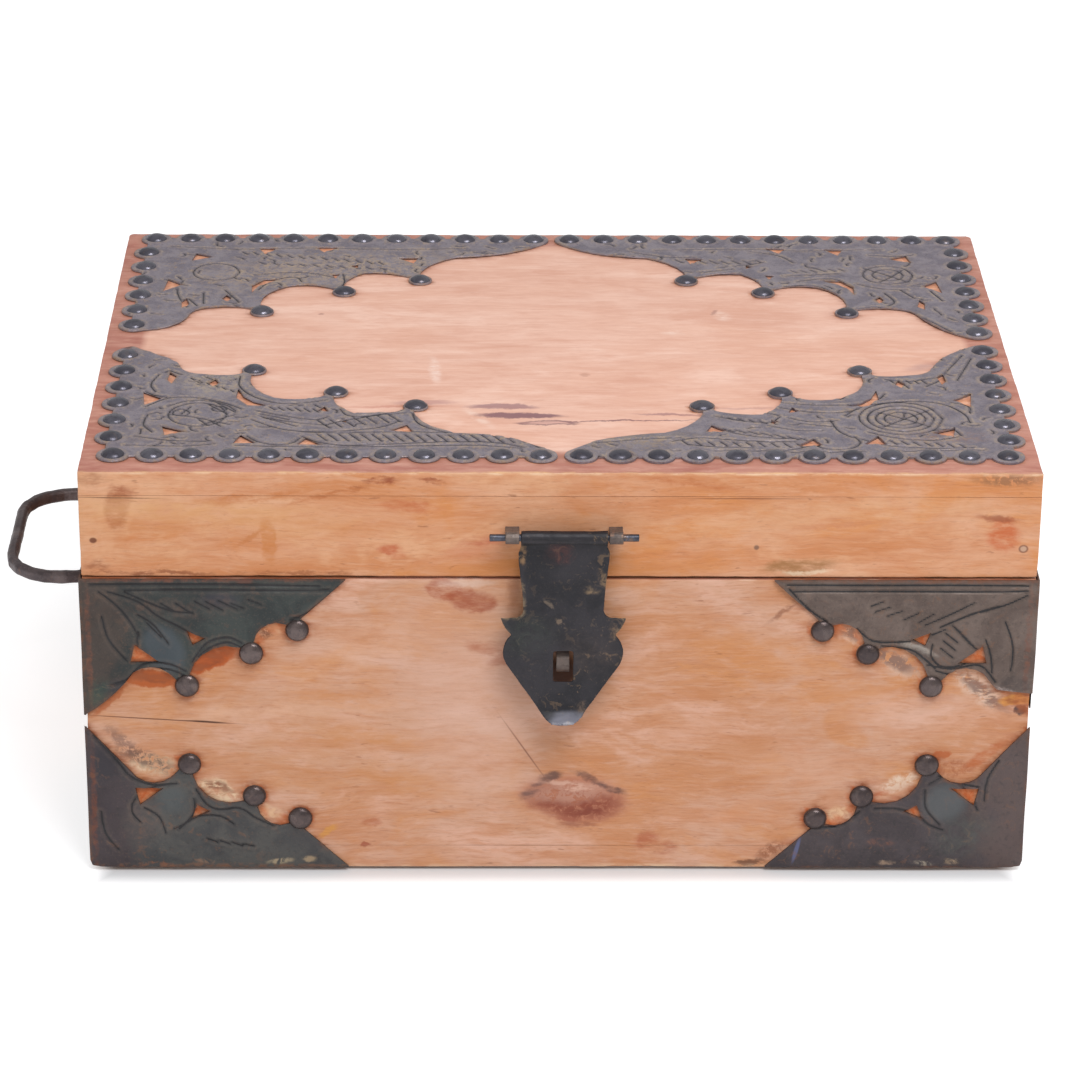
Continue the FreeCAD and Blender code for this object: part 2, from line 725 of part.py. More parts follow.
bail_bore = size("bail_tip_radius") + size("running_clearance")
shoulder_y = (size("bail_eye_spacing") + size("eye_width")) / 2 + size("bail_shoulder_gap")
neck = shoulder_y + size("bail_neck_corner") + size("leg_clearance") * 2
grip = neck + size("bail_flare")


def bail(label, pivot, turn):
    reach = size("bail_reach")
    corners = [Vector(0, shoulder_y, 0), Vector(0, neck, 0), Vector(reach, grip, 0),
               Vector(reach, -grip, 0), Vector(0, -neck, 0), Vector(0, -shoulder_y, 0)]
    small = (size("bail_neck_corner"), neck_cut_count)
    large = (size("bail_corner"), corner_cut_count)
    path = profile(label + "_path", bent_path(corners, [small, large, large, small]), Placement())
    wide, high = size("bail_bar_width") / 2, size("bail_bar_height") / 2
    bevel = size("bail_bar_bevel")
    quarter = [Vector(wide, high - bevel, 0), Vector(wide - bevel, high, 0)]
    flats = quarter + [Vector(-point.x, point.y, 0) for point in reversed(quarter)]
    flats += [-point for point in flats]
    section = profile(label + "_section", loop(flats),
                      Placement(corners[0], Rotation(RIGHT, UP, -BACK, "XYZ")))
    bar = document.addObject("Part::Sweep", label + "_bar")
    bar.Sections = [section]
    bar.Spine = path
    bar.Solid = True
    bar.Frenet = False
    bar.Transition = "Right corner"
    pieces = [bar]
    for side in (1, -1):
        tip = document.addObject("Part::Cylinder", f"{label}_tip_{len(pieces)}")
        bind(tip, Radius="bail_tip_radius",
             Height="bail_bar_bevel / 2 + bail_shoulder_gap + eye_width + bail_tip_overhang")
        tip.Placement = Placement(BACK * side * (shoulder_y + bevel / 2), Rotation(UP, -BACK * side))
        pieces.append(tip)
    handle = node(fuse(label + "_forging", pieces), label)
    handle.Placement = Placement(pivot, turn)


side_out = half_width + size("bail_pivot_standoff")
turns = {
    "left": (-RIGHT, Rotation(-RIGHT, BACK, -UP, "XYZ"), on_left, LEFT),
    "right": (RIGHT, Rotation(-UP, BACK, RIGHT, "XYZ"), on_right, RIGHT_END),
}
for side, (outwards, hanging, facing, wall) in turns.items():
    pivot = outwards * side_out + UP * size("bail_height")
    bail(f"{side}_bail", pivot, hanging)
    for end, sign in (("front", -1), ("back", 1)):
        place = pivot + BACK * sign * size("bail_eye_spacing") / 2
        bent_eye(f"{side}_handle_eye_{end}", bail_bore, "bail_pivot_standoff", place, facing)
    through = (wall[0] + " - overrun", wall[1] + " + overrun")
    slotted(f"body_{side}_board", [
        (through, around(f"{sign} bail_eye_spacing / 2", "eye_width / 2"),
         around("bail_height", "eye_iron")) for sign in "-+"])

# Strap hinges: the body's leaf has the two outer knuckles and the lid's leaf the middle one

hinge_bore = size("hinge_pin_radius") + size("running_clearance")
knuckle_outer = hinge_bore + size("hinge_iron")
knuckle_corner = wrapped(knuckle_outer, size("hinge_curl"))[0].Length
hinge_standoff = knuckle_corner + size("hinge_play")
hinge_axis = Vector(0, half_depth + hinge_standoff, seam + size("seam_gap") / 2)
leaf_taper_share = 0.35


def hinge_outline(middle_knuckle):
    """A strap seen square on, its knuckles at the origin and its tapered end below."""
    half, end = size("hinge_width") / 2, size("hinge_leaf_end") / 2
    gap = size("hinge_gap")
    knuckle = size("hinge_knuckle") / 2
    top, notch = knuckle_outer + size("overrun"), -knuckle_corner - gap
    taper, tip = -size("hinge_leaf") * leaf_taper_share, -size("hinge_leaf")
    if middle_knuckle:
        head_line = [(half, notch), (knuckle, notch), (knuckle, top)]
    else:
        inner = knuckle + gap
        head_line = [(half, top), (inner, top), (inner, notch)]
    right = [Vector(x, y, 0) for x, y in [(end, tip), (half, taper)] + head_line]
    left = [Vector(-point.x, point.y, 0) for point in reversed(right)]
    edges = chain(right + left)
    edges.append(Part.Arc(left[-1], Vector(0, tip - end / 2, 0), right[0]))
    return edges


def hinge_leaf(label, middle_knuckle, place, facing):
    length = size("hinge_leaf") + size("hinge_leaf_end")
    front = Placement(Vector(), Rotation(UP, BACK, -RIGHT, "XYZ"))
    side = rolled_edges(hinge_bore, size("hinge_iron"), length, size("hinge_curl"))
    outline = profile(label + "_outline", hinge_outline(middle_knuckle), front)
    flat = extrude(label + "_flat", outline, "hinge_leaf + overrun", centred=True)
    rolled = profile(label + "_profile", side, Placement())
    roll = extrude(label + "_roll", rolled, "hinge_width * 2", centred=True)
    leaf = node(common(label + "_bent", [flat, roll]), label)
    leaf.Placement = Placement(place, facing)
    return leaf


nail_shares = [(0.30, 0.40), (-0.30, 0.40), (0.0, 0.88)]
body_nails, lid_nails = [], []
for side, sign in (("left", -1), ("right", 1)):
    place = hinge_axis + RIGHT * sign * size("hinge_spacing") / 2
    hinge_leaf(f"{side}_hinge_body_leaf", False, place, on_back)
    hinge_leaf(f"{side}_hinge_lid_leaf", True, place, on_back_upturned)
    rod(f"{side}_hinge_pin", place, "hinge_pin_radius", "hinge_width + hinge_pin_overhang * 2")
    on_iron = -BACK * hinge_bore
    for across, along in nail_shares:
        reach = UP * along * size("hinge_leaf")
        aside = RIGHT * across * size("hinge_width")
        body_nails.append((place + on_iron + aside - reach, BACK))
        lid_nails.append((place + on_iron + aside + reach, BACK))
heads("hinge_nails_body", "nail_radius", "nail_rise", nail_flat_count, body_nails)
heads("hinge_nails_lid", "nail_radius", "nail_rise", nail_flat_count, lid_nails)

# Check everything before any file is written
document.recompute()
for thing in document.Objects:
    assert not {"Invalid", "Error"} & set(thing.State), f"{thing.Name} failed: {thing.State}"
for thing in subparts:
    assert not thing.Shape.isNull() and thing.Shape.isValid(), f"{thing.Label} has no valid shape"
    assert thing.Shape.Volume > 0, f"{thing.Label} has no volume"
for thing in subparts:
    thing.Shape.exportStep(f"parts/{thing.Label}.step")
    box = thing.Shape.BoundBox
    print(f"{thing.Label}: {len(thing.Shape.Solids)} solids, {thing.Shape.Volume:.0f} mm3, "
          f"x {box.XMin:.1f} {box.XMax:.1f}, y {box.YMin:.1f} {box.YMax:.1f}, z {box.ZMin:.1f} {box.ZMax:.1f}")
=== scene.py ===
import math
import random

import bmesh
import bpy
from mathutils import Matrix, Vector, noise
from mathutils.bvhtree import BVHTree
from mathutils.kdtree import KDTree


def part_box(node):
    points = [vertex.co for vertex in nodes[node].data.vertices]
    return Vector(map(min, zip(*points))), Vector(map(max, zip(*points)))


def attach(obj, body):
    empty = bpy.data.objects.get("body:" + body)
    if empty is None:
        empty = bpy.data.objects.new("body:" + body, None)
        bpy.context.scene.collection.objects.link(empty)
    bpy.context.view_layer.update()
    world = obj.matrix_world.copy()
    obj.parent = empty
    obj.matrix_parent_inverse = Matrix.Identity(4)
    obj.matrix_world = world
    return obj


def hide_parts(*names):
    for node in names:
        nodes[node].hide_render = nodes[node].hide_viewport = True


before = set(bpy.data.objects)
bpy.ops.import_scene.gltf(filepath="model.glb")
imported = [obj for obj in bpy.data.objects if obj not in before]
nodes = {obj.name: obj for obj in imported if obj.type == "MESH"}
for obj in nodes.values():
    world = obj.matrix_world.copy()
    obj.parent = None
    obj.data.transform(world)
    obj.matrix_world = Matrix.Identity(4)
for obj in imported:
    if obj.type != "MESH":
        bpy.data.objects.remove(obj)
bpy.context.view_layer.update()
mm = 0.001
print("frame loaded:", len(nodes), "nodes")

# the chest's own places, in metres: the boards' outer faces and the lid's seam
chest = {
    "halfWidth": 0.225,
    "front": -0.159,
    "back": 0.159,
    "top": 0.209,
    "seam": 0.155,
    "lidRim": 0.1554,
}
sides, rows, levels = ("left", "right"), ("front", "back"), ("upper", "lower")


def clearSelection():
    if bpy.context.object and bpy.context.object.mode != "OBJECT":
        stopEditing()
    bpy.ops.object.select_all(action="DESELECT")


def takeUp(piece):
    clearSelection()
    piece.select_set(True)
    bpy.context.view_layer.objects.active = piece


def selectAll(how="SELECT"):
    bpy.ops.mesh.select_all(action=how)


def startEditing(piece, kind="EDGE"):
    takeUp(piece)
    bpy.ops.object.mode_set(mode="EDIT")
    bpy.ops.mesh.select_mode(type=kind)
    selectAll("DESELECT")


def stopEditing():
    bpy.ops.object.mode_set(mode="OBJECT")


def pick(piece, kind, test):
    selectAll("DESELECT")
    shape = bmesh.from_edit_mesh(piece.data)
    for part in getattr(shape, kind):
        if test(part):
            part.select_set(True)
    bmesh.update_edit_mesh(piece.data)


def applyModifier(piece, kind, **settings):
    takeUp(piece)
    modifier = piece.modifiers.new("step", kind)
    for key, value in settings.items():
        setattr(modifier, key, value)
    bpy.ops.object.modifier_apply(modifier="step")


def makeUneven(piece, depth, width):
    waves = bpy.data.textures.new(piece.name + "Waves", "CLOUDS")
    waves.noise_scale = width
    waves.noise_depth = 1
    applyModifier(piece, "DISPLACE", texture=waves, texture_coords="LOCAL", strength=depth, mid_level=1.0)


def smoothEdgesOver(piece, degrees):
    takeUp(piece)
    bpy.ops.object.shade_smooth_by_angle(angle=math.radians(degrees))


def copyNode(node, name):
    piece = bpy.data.objects.new(name, nodes[node].data.copy())
    bpy.context.scene.collection.objects.link(piece)
    piece.data.materials.clear()
    takeUp(piece)
    bpy.ops.mesh.customdata_custom_splitnormals_clear()
    bpy.ops.object.mode_set(mode="EDIT")
    selectAll()
    bpy.ops.mesh.remove_doubles(threshold=0.00002)
    stopEditing()
    return piece


def joinPieces(pieces, name):
    clearSelection()
    for piece in pieces:
        piece.select_set(True)
    bpy.context.view_layer.objects.active = pieces[0]
    if len(pieces) > 1:
        bpy.ops.object.join()
    pieces[0].name = name
    return pieces[0]


def giveTo(piece, body, slotName, finishes, *stoodFor):
    takeUp(piece)
    bpy.ops.object.transform_apply(location=True, rotation=True, scale=True)
    if finishes:
        piece.data.materials.clear()
        for finish in finishes:
            piece.data.materials.append(finish)
    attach(piece, body)
    if stoodFor:
        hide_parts(*stoodFor)
    return piece


def camel(node):
    first, *rest = node.split("_")
    return first + "".join(word.capitalize() for word in rest)


def treeFor(places):
    tree = KDTree(len(places))
    for index, spot in enumerate(places):
        tree.insert(spot, index)
    tree.balance()
    return tree


def tone(red, green, blue):
    def linear(value):
        value /= 255
        return value / 12.92 if value <= 0.04045 else ((value + 0.055) / 1.055) ** 2.4
    return (linear(red), linear(green), linear(blue), 1)


def newFinish(name, roughness=0.5, metal=0.0, shine=0.5):
    finish = bpy.data.materials.new(name)
    finish.use_nodes = True
    shader = finish.node_tree.nodes["Principled BSDF"]
    shader.inputs["Roughness"].default_value = roughness
    shader.inputs["Metallic"].default_value = metal
    shader.inputs["Specular IOR Level"].default_value = shine
    return finish, finish.node_tree, shader


def feed(tree, socket, value):
    if isinstance(value, bpy.types.NodeSocket):
        tree.links.new(value, socket)
    else:
        socket.default_value = value


def put(tree, kind, feeds, **settings):
    step = tree.nodes.new(kind)
    for key, value in settings.items():
        setattr(step, key, value)
    for key, value in feeds.items():
        feed(tree, step.inputs[key], value)
    return step


def blendColours(tree, share, first, second):
    return put(tree, "ShaderNodeMix", {0: share, 6: first, 7: second}, data_type="RGBA").outputs[2]


def sums(tree, how, first, second=0.0):
    return put(tree, "ShaderNodeMath", {0: first, 1: second}, operation=how).outputs[0]


def times(tree, first, second):
    return sums(tree, "MULTIPLY", first, second)


def ease(tree, value, low, high, atLow=0.0, atHigh=1.0):
    feeds = {0: value, 1: low, 2: high, 3: atLow, 4: atHigh}
    return put(tree, "ShaderNodeMapRange", feeds, interpolation_type="SMOOTHSTEP").outputs[0]


def place(tree):
    return put(tree, "ShaderNodeTexCoord", {}).outputs["Object"]


def cloud(tree, where, scale, detail=3.0, roughness=0.55, swirl=0.0):
    feeds = {"Vector": where, "Scale": scale, "Detail": detail, "Roughness": roughness, "Distortion": swirl}
    return put(tree, "ShaderNodeTexNoise", feeds).outputs["Fac"]


def painted(tree, name):
    return put(tree, "ShaderNodeAttribute", {}, attribute_name=name).outputs["Fac"]


def addBump(tree, shader, height, depth, before=None):
    feeds = {"Height": height, "Distance": depth, "Strength": 1.0}
    if before:
        feeds["Normal"] = before
    normal = put(tree, "ShaderNodeBump", feeds).outputs[0]
    feed(tree, shader.inputs["Normal"], normal)
    return normal


def readMarks(rows):
    # a mark in each row: across, up, half length, half height, turn, softness; red, green, blue; share,
    # how broken (0 or none: whole); then a rim's colour, or the words sharp (no ragged edge) or blotched
    marks = []
    for row in rows.split("\n")[1:-1]:
        words = row.split()
        numbers = [float(word) for word in words if not word.isalpha()] + [0.0]
        marks.append({"at": numbers[:6], "colour": numbers[6:9], "share": numbers[9], "broken": numbers[10],
                      "rim": numbers[11:14], "words": words})
    return marks


def readLines(rows):
    # the lines are parted by strokes, and each is a run of across, down, across, down
    runs = [[float(word) for word in run.split()] for run in rows.split("/")]
    return [list(zip(run[::2], run[1::2])) for run in runs]


def markShare(tree, where, plane, mark):
    # a soft-edged ellipse on the board
    across, up, halfLong, halfHigh, turn, soft = mark
    if plane == "top":
        centre, radii, turned = (across, up, 0), (halfLong, halfHigh, 1e6), (0, 0, math.radians(turn))
    else:
        centre, radii, turned = (across, 0, up), (halfLong, 1e6, halfHigh), (0, -math.radians(turn), 0)
    feeds = {0: where, 1: Vector(centre) * mm, 2: turned, 3: Vector(radii) * mm}
    step = put(tree, "ShaderNodeMapping", feeds, vector_type="TEXTURE")
    away = put(tree, "ShaderNodeVectorMath", {0: step.outputs[0]}, operation="LENGTH").outputs["Value"]
    return ease(tree, away, 1 - soft, 1 + soft, 1.0, 0.0), away


def drawMarks(tree, colour, marks, plane, places, breakers, middle):
    # places are the ragged and the true one, breakers the patterns that break a mark up
    for mark in marks:
        share, away = markShare(tree, places["sharp" in mark["words"]], plane, mark["at"])
        broken = mark["broken"]
        if broken:
            breaker = breakers["blotched" in mark["words"]]
            share = times(tree, share, ease(tree, breaker, middle - broken, middle + broken))
        inner = tone(*mark["colour"])
        if len(mark["rim"]) == 3:
            inner = blendColours(tree, ease(tree, away, 0.45, 0.95), inner, tone(*mark["rim"]))
        colour = blendColours(tree, times(tree, share, mark["share"]), colour, inner)
    return colour


def layered(tree, colour, looks, layers):
    # lays tints over the colour one after another, each where its pattern goes from one value to another
    for pattern, low, high, share, tint in layers:
        colour = blendColours(tree, ease(tree, pattern, low, high, 0, share), colour, tone(*looks[tint]))
    return colour


def nudge(tree, where, scale, reach):
    # moves the place about, so that what is drawn on it gets a ragged outline
    def vectors(how, feeds):
        return put(tree, "ShaderNodeVectorMath", feeds, operation=how).outputs[0]

    feeds = {"Vector": where, "Scale": scale, "Detail": 4.0, "Roughness": 0.65}
    shove = put(tree, "ShaderNodeTexNoise", feeds).outputs["Color"]
    offset = vectors("ADD", {0: shove, 1: (-0.5, -0.5, -0.5)})
    return vectors("ADD", {0: where, 1: vectors("SCALE", {0: offset, "Scale": reach})})


woodLooks = {
    "fibreDepth": 0.00010,
    "poreDepth": 0.00010,
    "rawInside": (224, 186, 148),
    "rawStreak": (196, 148, 108),
    "rawPale": (234, 204, 172),
}


def woodFinish(name, looks, marks=(), plane="front"):
    finish, tree, shader = newFinish(name, roughness=0.62, shine=0.3)
    where = place(tree)

    def grained(base, alongGrain, acrossGrain, *grain):
        scale = [alongGrain if axis == looks["grainAlong"] else acrossGrain for axis in range(3)]
        stretched = put(tree, "ShaderNodeMapping", {0: base, 1: looks["shift"], 3: scale}).outputs[0]
        return cloud(tree, stretched, 1.0, *grain)

    def over(colour, share, tint):
        return blendColours(tree, share, colour, tone(*tint))

    wavy = nudge(tree, where, 7.0, looks["waviness"])
    patch = grained(where, looks["patchAlong"], looks["patchAcross"], 3.0, 0.55, 0.8)
    broad = grained(nudge(tree, where, 30.0, 0.012), 16, 34, 4.0, 0.6, 0.6)
    mottle = grained(wavy, 24, 105, 4.0, 0.6, 0.3)
    small = grained(wavy, 62, 330, 3.0, 0.6, 0.3)
    fibre = grained(wavy, 52, 900, 3.0, 0.6, 0.1)
    pores = grained(wavy, 150, 1900, 3.0, 0.6)
    fleck = grained(wavy, 110, 560, 2.0, 0.5)
    ragged = grained(where, 90, 260, 4.0, 0.65)
    blotch = cloud(tree, where, 260.0, 4.0, 0.7, 0.6)
    warped = nudge(tree, nudge(tree, where, 55.0, 0.007), 260.0, 0.0035)
    contrast = looks["contrast"]
    colour = over(tone(*looks["light"]), ease(tree, patch, 0.36, 0.64), looks["warm"])
    colour = layered(tree, colour, looks, (
        (broad, 0.50, 0.68, 0.75, "amber"), (broad, 0.48, 0.32, 0.75, "blush"),
        (mottle, 0.47, 0.66, 0.6 * contrast, "band"), (mottle, 0.47, 0.30, 0.6 * contrast, "pale"),
        (small, 0.50, 0.68, 0.36 * contrast, "band"), (small, 0.46, 0.30, 0.34 * contrast, "pale"),
        (fibre, 0.50, 0.68, 0.32 * contrast, "fibre"), (fibre, 0.48, 0.32, 0.28 * contrast, "pale"),
        (pores, 0.54, 0.70, 0.28 * contrast, "pore"), (fleck, 0.68, 0.78, looks["fleckShare"], "pore")))
    colour = drawMarks(tree, colour, marks, plane, (warped, where), (ragged, blotch), 0.45)
    if "border" in looks:
        edge = times(tree, painted(tree, "border"), ease(tree, ragged, 0.3, 0.55, 0.72, 1.0))
        rim = over(tone(*looks["border"]), ease(tree, mottle, 0.35, 0.7), looks["borderDark"])
        colour = blendColours(tree, edge, colour, rim)
    hollow = over(tone(*looks["pocket"]), ease(tree, blotch, 0.4, 0.65), looks["pocketPale"])
    colour = blendColours(tree, painted(tree, "pocket"), colour, hollow)
    stained = ease(tree, ragged, 0.42, 0.66, 0.0, looks["stainShare"])
    colour = over(colour, times(tree, painted(tree, "nearIron"), stained), looks["stain"])
    dirty = ease(tree, ragged, 0.35, 0.62, 0.15, 0.85)
    colour = over(colour, times(tree, painted(tree, "byIron"), dirty), looks["dirt"])
    raw = over(tone(*woodLooks["rawInside"]), ease(tree, mottle, 0.45, 0.7), woodLooks["rawStreak"])
    streaks = ((small, 0.45, 0.28, 0.7, "rawPale"), (fibre, 0.5, 0.7, 0.5, "rawStreak"))
    raw = layered(tree, raw, woodLooks, streaks)
    colour = blendColours(tree, painted(tree, "inside"), colour, raw)
    rubbed = ease(tree, ragged, 0.4, 0.6, 0.15, 1.0)
    colour = over(colour, times(tree, painted(tree, "wornEdge"), rubbed), looks["worn"])
    feed(tree, shader.inputs["Base Color"], colour)
    feed(tree, shader.inputs["Roughness"], ease(tree, patch, 0.3, 0.7, 0.52, 0.68))
    first = addBump(tree, shader, small, woodLooks["fibreDepth"])
    addBump(tree, shader, fibre, woodLooks["poreDepth"], first)
    return finish


def ironFinish(name, looks, marks=(), plane="front"):
    finish, tree, shader = newFinish(name, metal=looks.get("metal", 0.35))
    where = place(tree)
    size = looks.get("size", 1.0)

    def over(colour, share, tint):
        return blendColours(tree, share, colour, tone(*looks[tint]))

    mottle = cloud(tree, where, 55.0 / size, 4.0, 0.62, 0.6)
    fine = cloud(tree, where, 420.0 / size, 4.0, 0.65)
    specks = cloud(tree, where, 190.0 / size, 5.0, 0.7, 0.8)
    grit = cloud(tree, where, 900.0 / size, 3.0, 0.6)
    zone = cloud(tree, where, 16.0 / size, 2.0, 0.5, 0.5)
    colour = over(tone(*looks["base"]), ease(tree, mottle, 0.38, 0.62), "other")
    if "far" in looks:    # a second tint that takes over along one direction
        axis, start, stop = looks["farAlong"]
        side = put(tree, "ShaderNodeSeparateXYZ", {0: where}).outputs[axis]
        side = sums(tree, "ADD", side, times(tree, sums(tree, "SUBTRACT", mottle, 0.5), 0.05))
        colour = over(colour, ease(tree, side, start, stop), "far")
    dirts = ((fine, 0.5, 0.75, 0.5, "dark"), (grit, 0.52, 0.75, looks.get("dustShare", 0.3), "dust"))
    colour = layered(tree, colour, looks, dirts)
    warped = nudge(tree, where, 130.0, 0.004)
    colour = drawMarks(tree, colour, marks, plane, (warped, where), (specks, specks), 0.5)
    # the tan laid on the ridges and on the cups round the lid's studs is partly worn high spots and partly a
    # painted highlight
    if "lit" in looks:
        raised = ease(tree, specks, 0.42, 0.62, 0.1, looks.get("litShare", 0.8))
        colour = over(colour, times(tree, painted(tree, "ridge"), raised), "lit")
        colour = over(colour, times(tree, painted(tree, "groove"), 0.75), "dark")
    rust = times(tree, ease(tree, specks, 0.57, 0.63), ease(tree, zone, 0.42, 0.62, 0.25, 1.0))
    colour = over(colour, times(tree, rust, looks.get("speckShare", 0.6)), "speck")
    worn = times(tree, painted(tree, "wornEdge"), ease(tree, specks, 0.4, 0.58, 0.1, 0.9))
    colour = over(colour, worn, "worn")
    feed(tree, shader.inputs["Base Color"], colour)
    smoothness = looks.get("smoothest", 0.40), looks.get("roughest", 0.60)
    feed(tree, shader.inputs["Roughness"], ease(tree, mottle, 0.3, 0.7, *smoothness))
    first = addBump(tree, shader, mottle, looks.get("dents", 0.0006))
    addBump(tree, shader, fine, looks.get("pits", 0.00016), first)
    return finish


def ironTree(names):
    corners, faces = [], []
    for name in names:
        mesh = nodes[name].data
        start = len(corners)
        corners += [vertex.co.copy() for vertex in mesh.vertices]
        faces += [[start + index for index in face.vertices] for face in mesh.polygons]
    return BVHTree.FromPolygons(corners, faces)


def paintValues(piece, name, values):
    layer = piece.data.attributes.get(name) or piece.data.attributes.new(name, "FLOAT", "POINT")
    layer.data.foreach_set("value", values)


def bounded(value, low=0.0, high=1.0):
    return max(low, min(high, value))


def cutAlong(piece, axis, cutNumbers, shortest):
    for cutNumber in cutNumbers:
        def runsAlong(edge):
            run = edge.verts[1].co - edge.verts[0].co
            return abs(run[axis]) > 0.95 * run.length and run.length > shortest
        pick(piece, "edges", runsAlong)
        bpy.ops.mesh.subdivide(number_cuts=cutNumber)


boardMaking = {
    "edgeRound": 0.0006,
    "backCorner": 0.004,
    "warpDepth": 0.00025,
    "warpWidth": 0.09,
    "nickDepth": 0.00022,
    "footCorner": 0.0045,
    "arris": 0.0016,
    "shortestCut": 0.0025,
}
freeFaces = [(0, -chest["halfWidth"]), (0, chest["halfWidth"]), (1, chest["front"]), (1, chest["back"]),
             (2, 0.0), (2, chest["top"]), (2, chest["seam"]), (2, chest["lidRim"])]


def roundFoot(spot, radius):
    # the chest's lower corners are worn round, seen from the front
    for side in (-1, 1):
        centre = Vector((side * (chest["halfWidth"] - radius), spot.y, radius))
        out = spot - centre
        if out.x * side > 0 and out.z < 0:
            along = Vector((out.x, 0, out.z))
            square = max(abs(out.x), abs(out.z))
            if along.length > 1e-6:
                along *= square / along.length
            return Vector((centre.x + along.x, spot.y, max(0.0, centre.z + along.z)))
    return spot


def makeBoard(node, name, cuts, outwards, wornEdges):
    low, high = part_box(node)
    clearSelection()
    bpy.ops.mesh.primitive_cube_add(size=1, location=(low + high) / 2, scale=high - low)
    board = bpy.context.object
    board.name = name
    bpy.ops.object.transform_apply(location=True, rotation=False, scale=True)
    startEditing(board)
    if node == "lid_top_board":
        def isBackCorner(edge):
            first, second = (corner.co for corner in edge.verts)
            return first.y > 0 and second.y > 0 and abs(first.z - second.z) > 0.005
        pick(board, "edges", isBackCorner)
        bpy.ops.mesh.bevel(offset=boardMaking["backCorner"], segments=4)

    def standsFree(edge):
        ends = [corner.co for corner in edge.verts]
        return sum(all(abs(end[axis] - at) < 0.0001 for end in ends) for axis, at in freeFaces) > 1

    pick(board, "edges", standsFree)
    bpy.ops.mesh.bevel(offset=boardMaking["edgeRound"], segments=2, profile=0.6)
    for axis, cutNumbers in enumerate(cuts):
        if cutNumbers:
            cutAlong(board, axis, cutNumbers, boardMaking["shortestCut"])
    stopEditing()
    makeUneven(board, boardMaking["warpDepth"], boardMaking["warpWidth"])
    # nicks and rubbing along the arrises
    inside, worn = [], []
    for vertex in board.data.vertices:
        where = vertex.co.copy()
        nick = noise.noise(where * 60) + 0.6 * noise.noise(where * 170)
        near = [(axis, at) for axis, at in freeFaces if abs(where[axis] - at) < boardMaking["arris"]]
        if len(near) > 1:
            pull = bounded(nick + 0.1, 0, 1) * boardMaking["nickDepth"]
            for axis, at in near:
                vertex.co[axis] += pull * (1 if at < (low[axis] + high[axis]) / 2 else -1)
        vertex.co = roundFoot(vertex.co, boardMaking["footCorner"])
        axis, side = outwards
        depth = (high[axis] - where[axis]) if side > 0 else (where[axis] - low[axis])
        outer = [at for other, at in near if other < 2 or at in (0.0, chest["top"])]
        inside.append(0.0 if outer else bounded((depth - 0.001) / 0.003))
        shareWorn = 0.0
        for first, second, reach in wornEdges:
            gap = max(high[across] - where[across] if end > 0 else where[across] - low[across]
                      for across, end in (first, second))
            shareWorn = max(shareWorn, bounded(1.3 - gap / reach + 0.7 * nick))
        worn.append(shareWorn * (1 - inside[-1]))
    paintValues(board, "inside", inside)
    paintValues(board, "wornEdge", worn)
    smoothEdgesOver(board, 35)
    return board


ironTraces = {
    "dirtReach": 0.0011,
    "stainReach": 0.009,
    "pocketSearch": 0.02,
    "pocketReach": 0.022,
    "borderAcross": 0.2045,
    "borderDeep": 0.1365,
    "borderMiddle": 0.004,
    "borderSoft": 0.003,
}


def paintByIron(board, plates, outwards):
    # how near each point of the face is to sheet iron, and whether iron stands all round it
    axis, side = outwards
    tree = ironTree(plates)
    face = max(vertex.co[axis] * side for vertex in board.data.vertices)
    spans = [other for other in range(3) if other != axis]
    values = {"byIron": [], "nearIron": [], "pocket": [], "border": []}
    for vertex in board.data.vertices:
        near, wide, closed, edge = 0.0, 0.0, 0.0, 0.0
        if vertex.co[axis] * side > face - 0.003:
            spot = vertex.co.copy()
            spot[axis] = side * (face + 0.0004)
            gap = tree.find_nearest(spot)[3]
            near = math.exp(-max(gap, 0) / ironTraces["dirtReach"])
            wide = bounded(1 - gap / ironTraces["stainReach"])
            if gap < ironTraces["pocketSearch"]:
                hits = 0
                for turn in range(12):
                    ray = Vector((0, 0, 0))
                    ray[spans[0]] = math.cos(turn * math.pi / 6 + 0.1)
                    ray[spans[1]] = math.sin(turn * math.pi / 6 + 0.1)
                    hits += tree.ray_cast(spot, ray, ironTraces["pocketReach"])[0] is not None
                closed = bounded((hits - 9) / 2)
            if axis == 2:
                outX = abs(spot.x) - ironTraces["borderAcross"]
                outY = abs(spot.y - ironTraces["borderMiddle"]) - ironTraces["borderDeep"]
                edge = bounded(max(outX, outY) / ironTraces["borderSoft"] + 0.6 * noise.noise(spot * 90))
        for name, value in zip(values, (near, wide, closed, edge)):
            values[name].append(value)
    for name, column in values.items():
        paintValues(board, name, column)


topMarks = readMarks("""
-65 -74 14 3 2 .4 168 120 122 .5
-75 -79 22 1.3 2 .6 196 128 112 .6
-27 -79 17 3 -3 .3 142 100 108 .7
-18 -90 20 3.2 -2 .25 122 84 94 .85
-6 -99 14 2.8 0 .25 206 160 148 .85 0 112 74 84
32 -96 34 .8 3 .5 126 84 90 .8
54 -88 15 1.3 -3 .6 152 106 110 .7
90 -80 16 1.2 4 .8 176 130 124 .5
-60 -33 2 13 4 .8 248 226 216 .6 .1
-38 -93 2.4 11 30 .8 246 222 208 .5 .1
182 -27 8 3.4 35 .9 176 138 134 .55
86 40 3 5 20 .9 246 222 208 .6 .1
82 46 1.2 3 -20 .6 166 122 112 .6
60 18 5 3 0 .9 246 220 206 .5 .1
-118 42 1.6 1.4 0 .5 176 128 116 .7
14 -38 2 1.6 0 .6 184 134 116 .5
""")
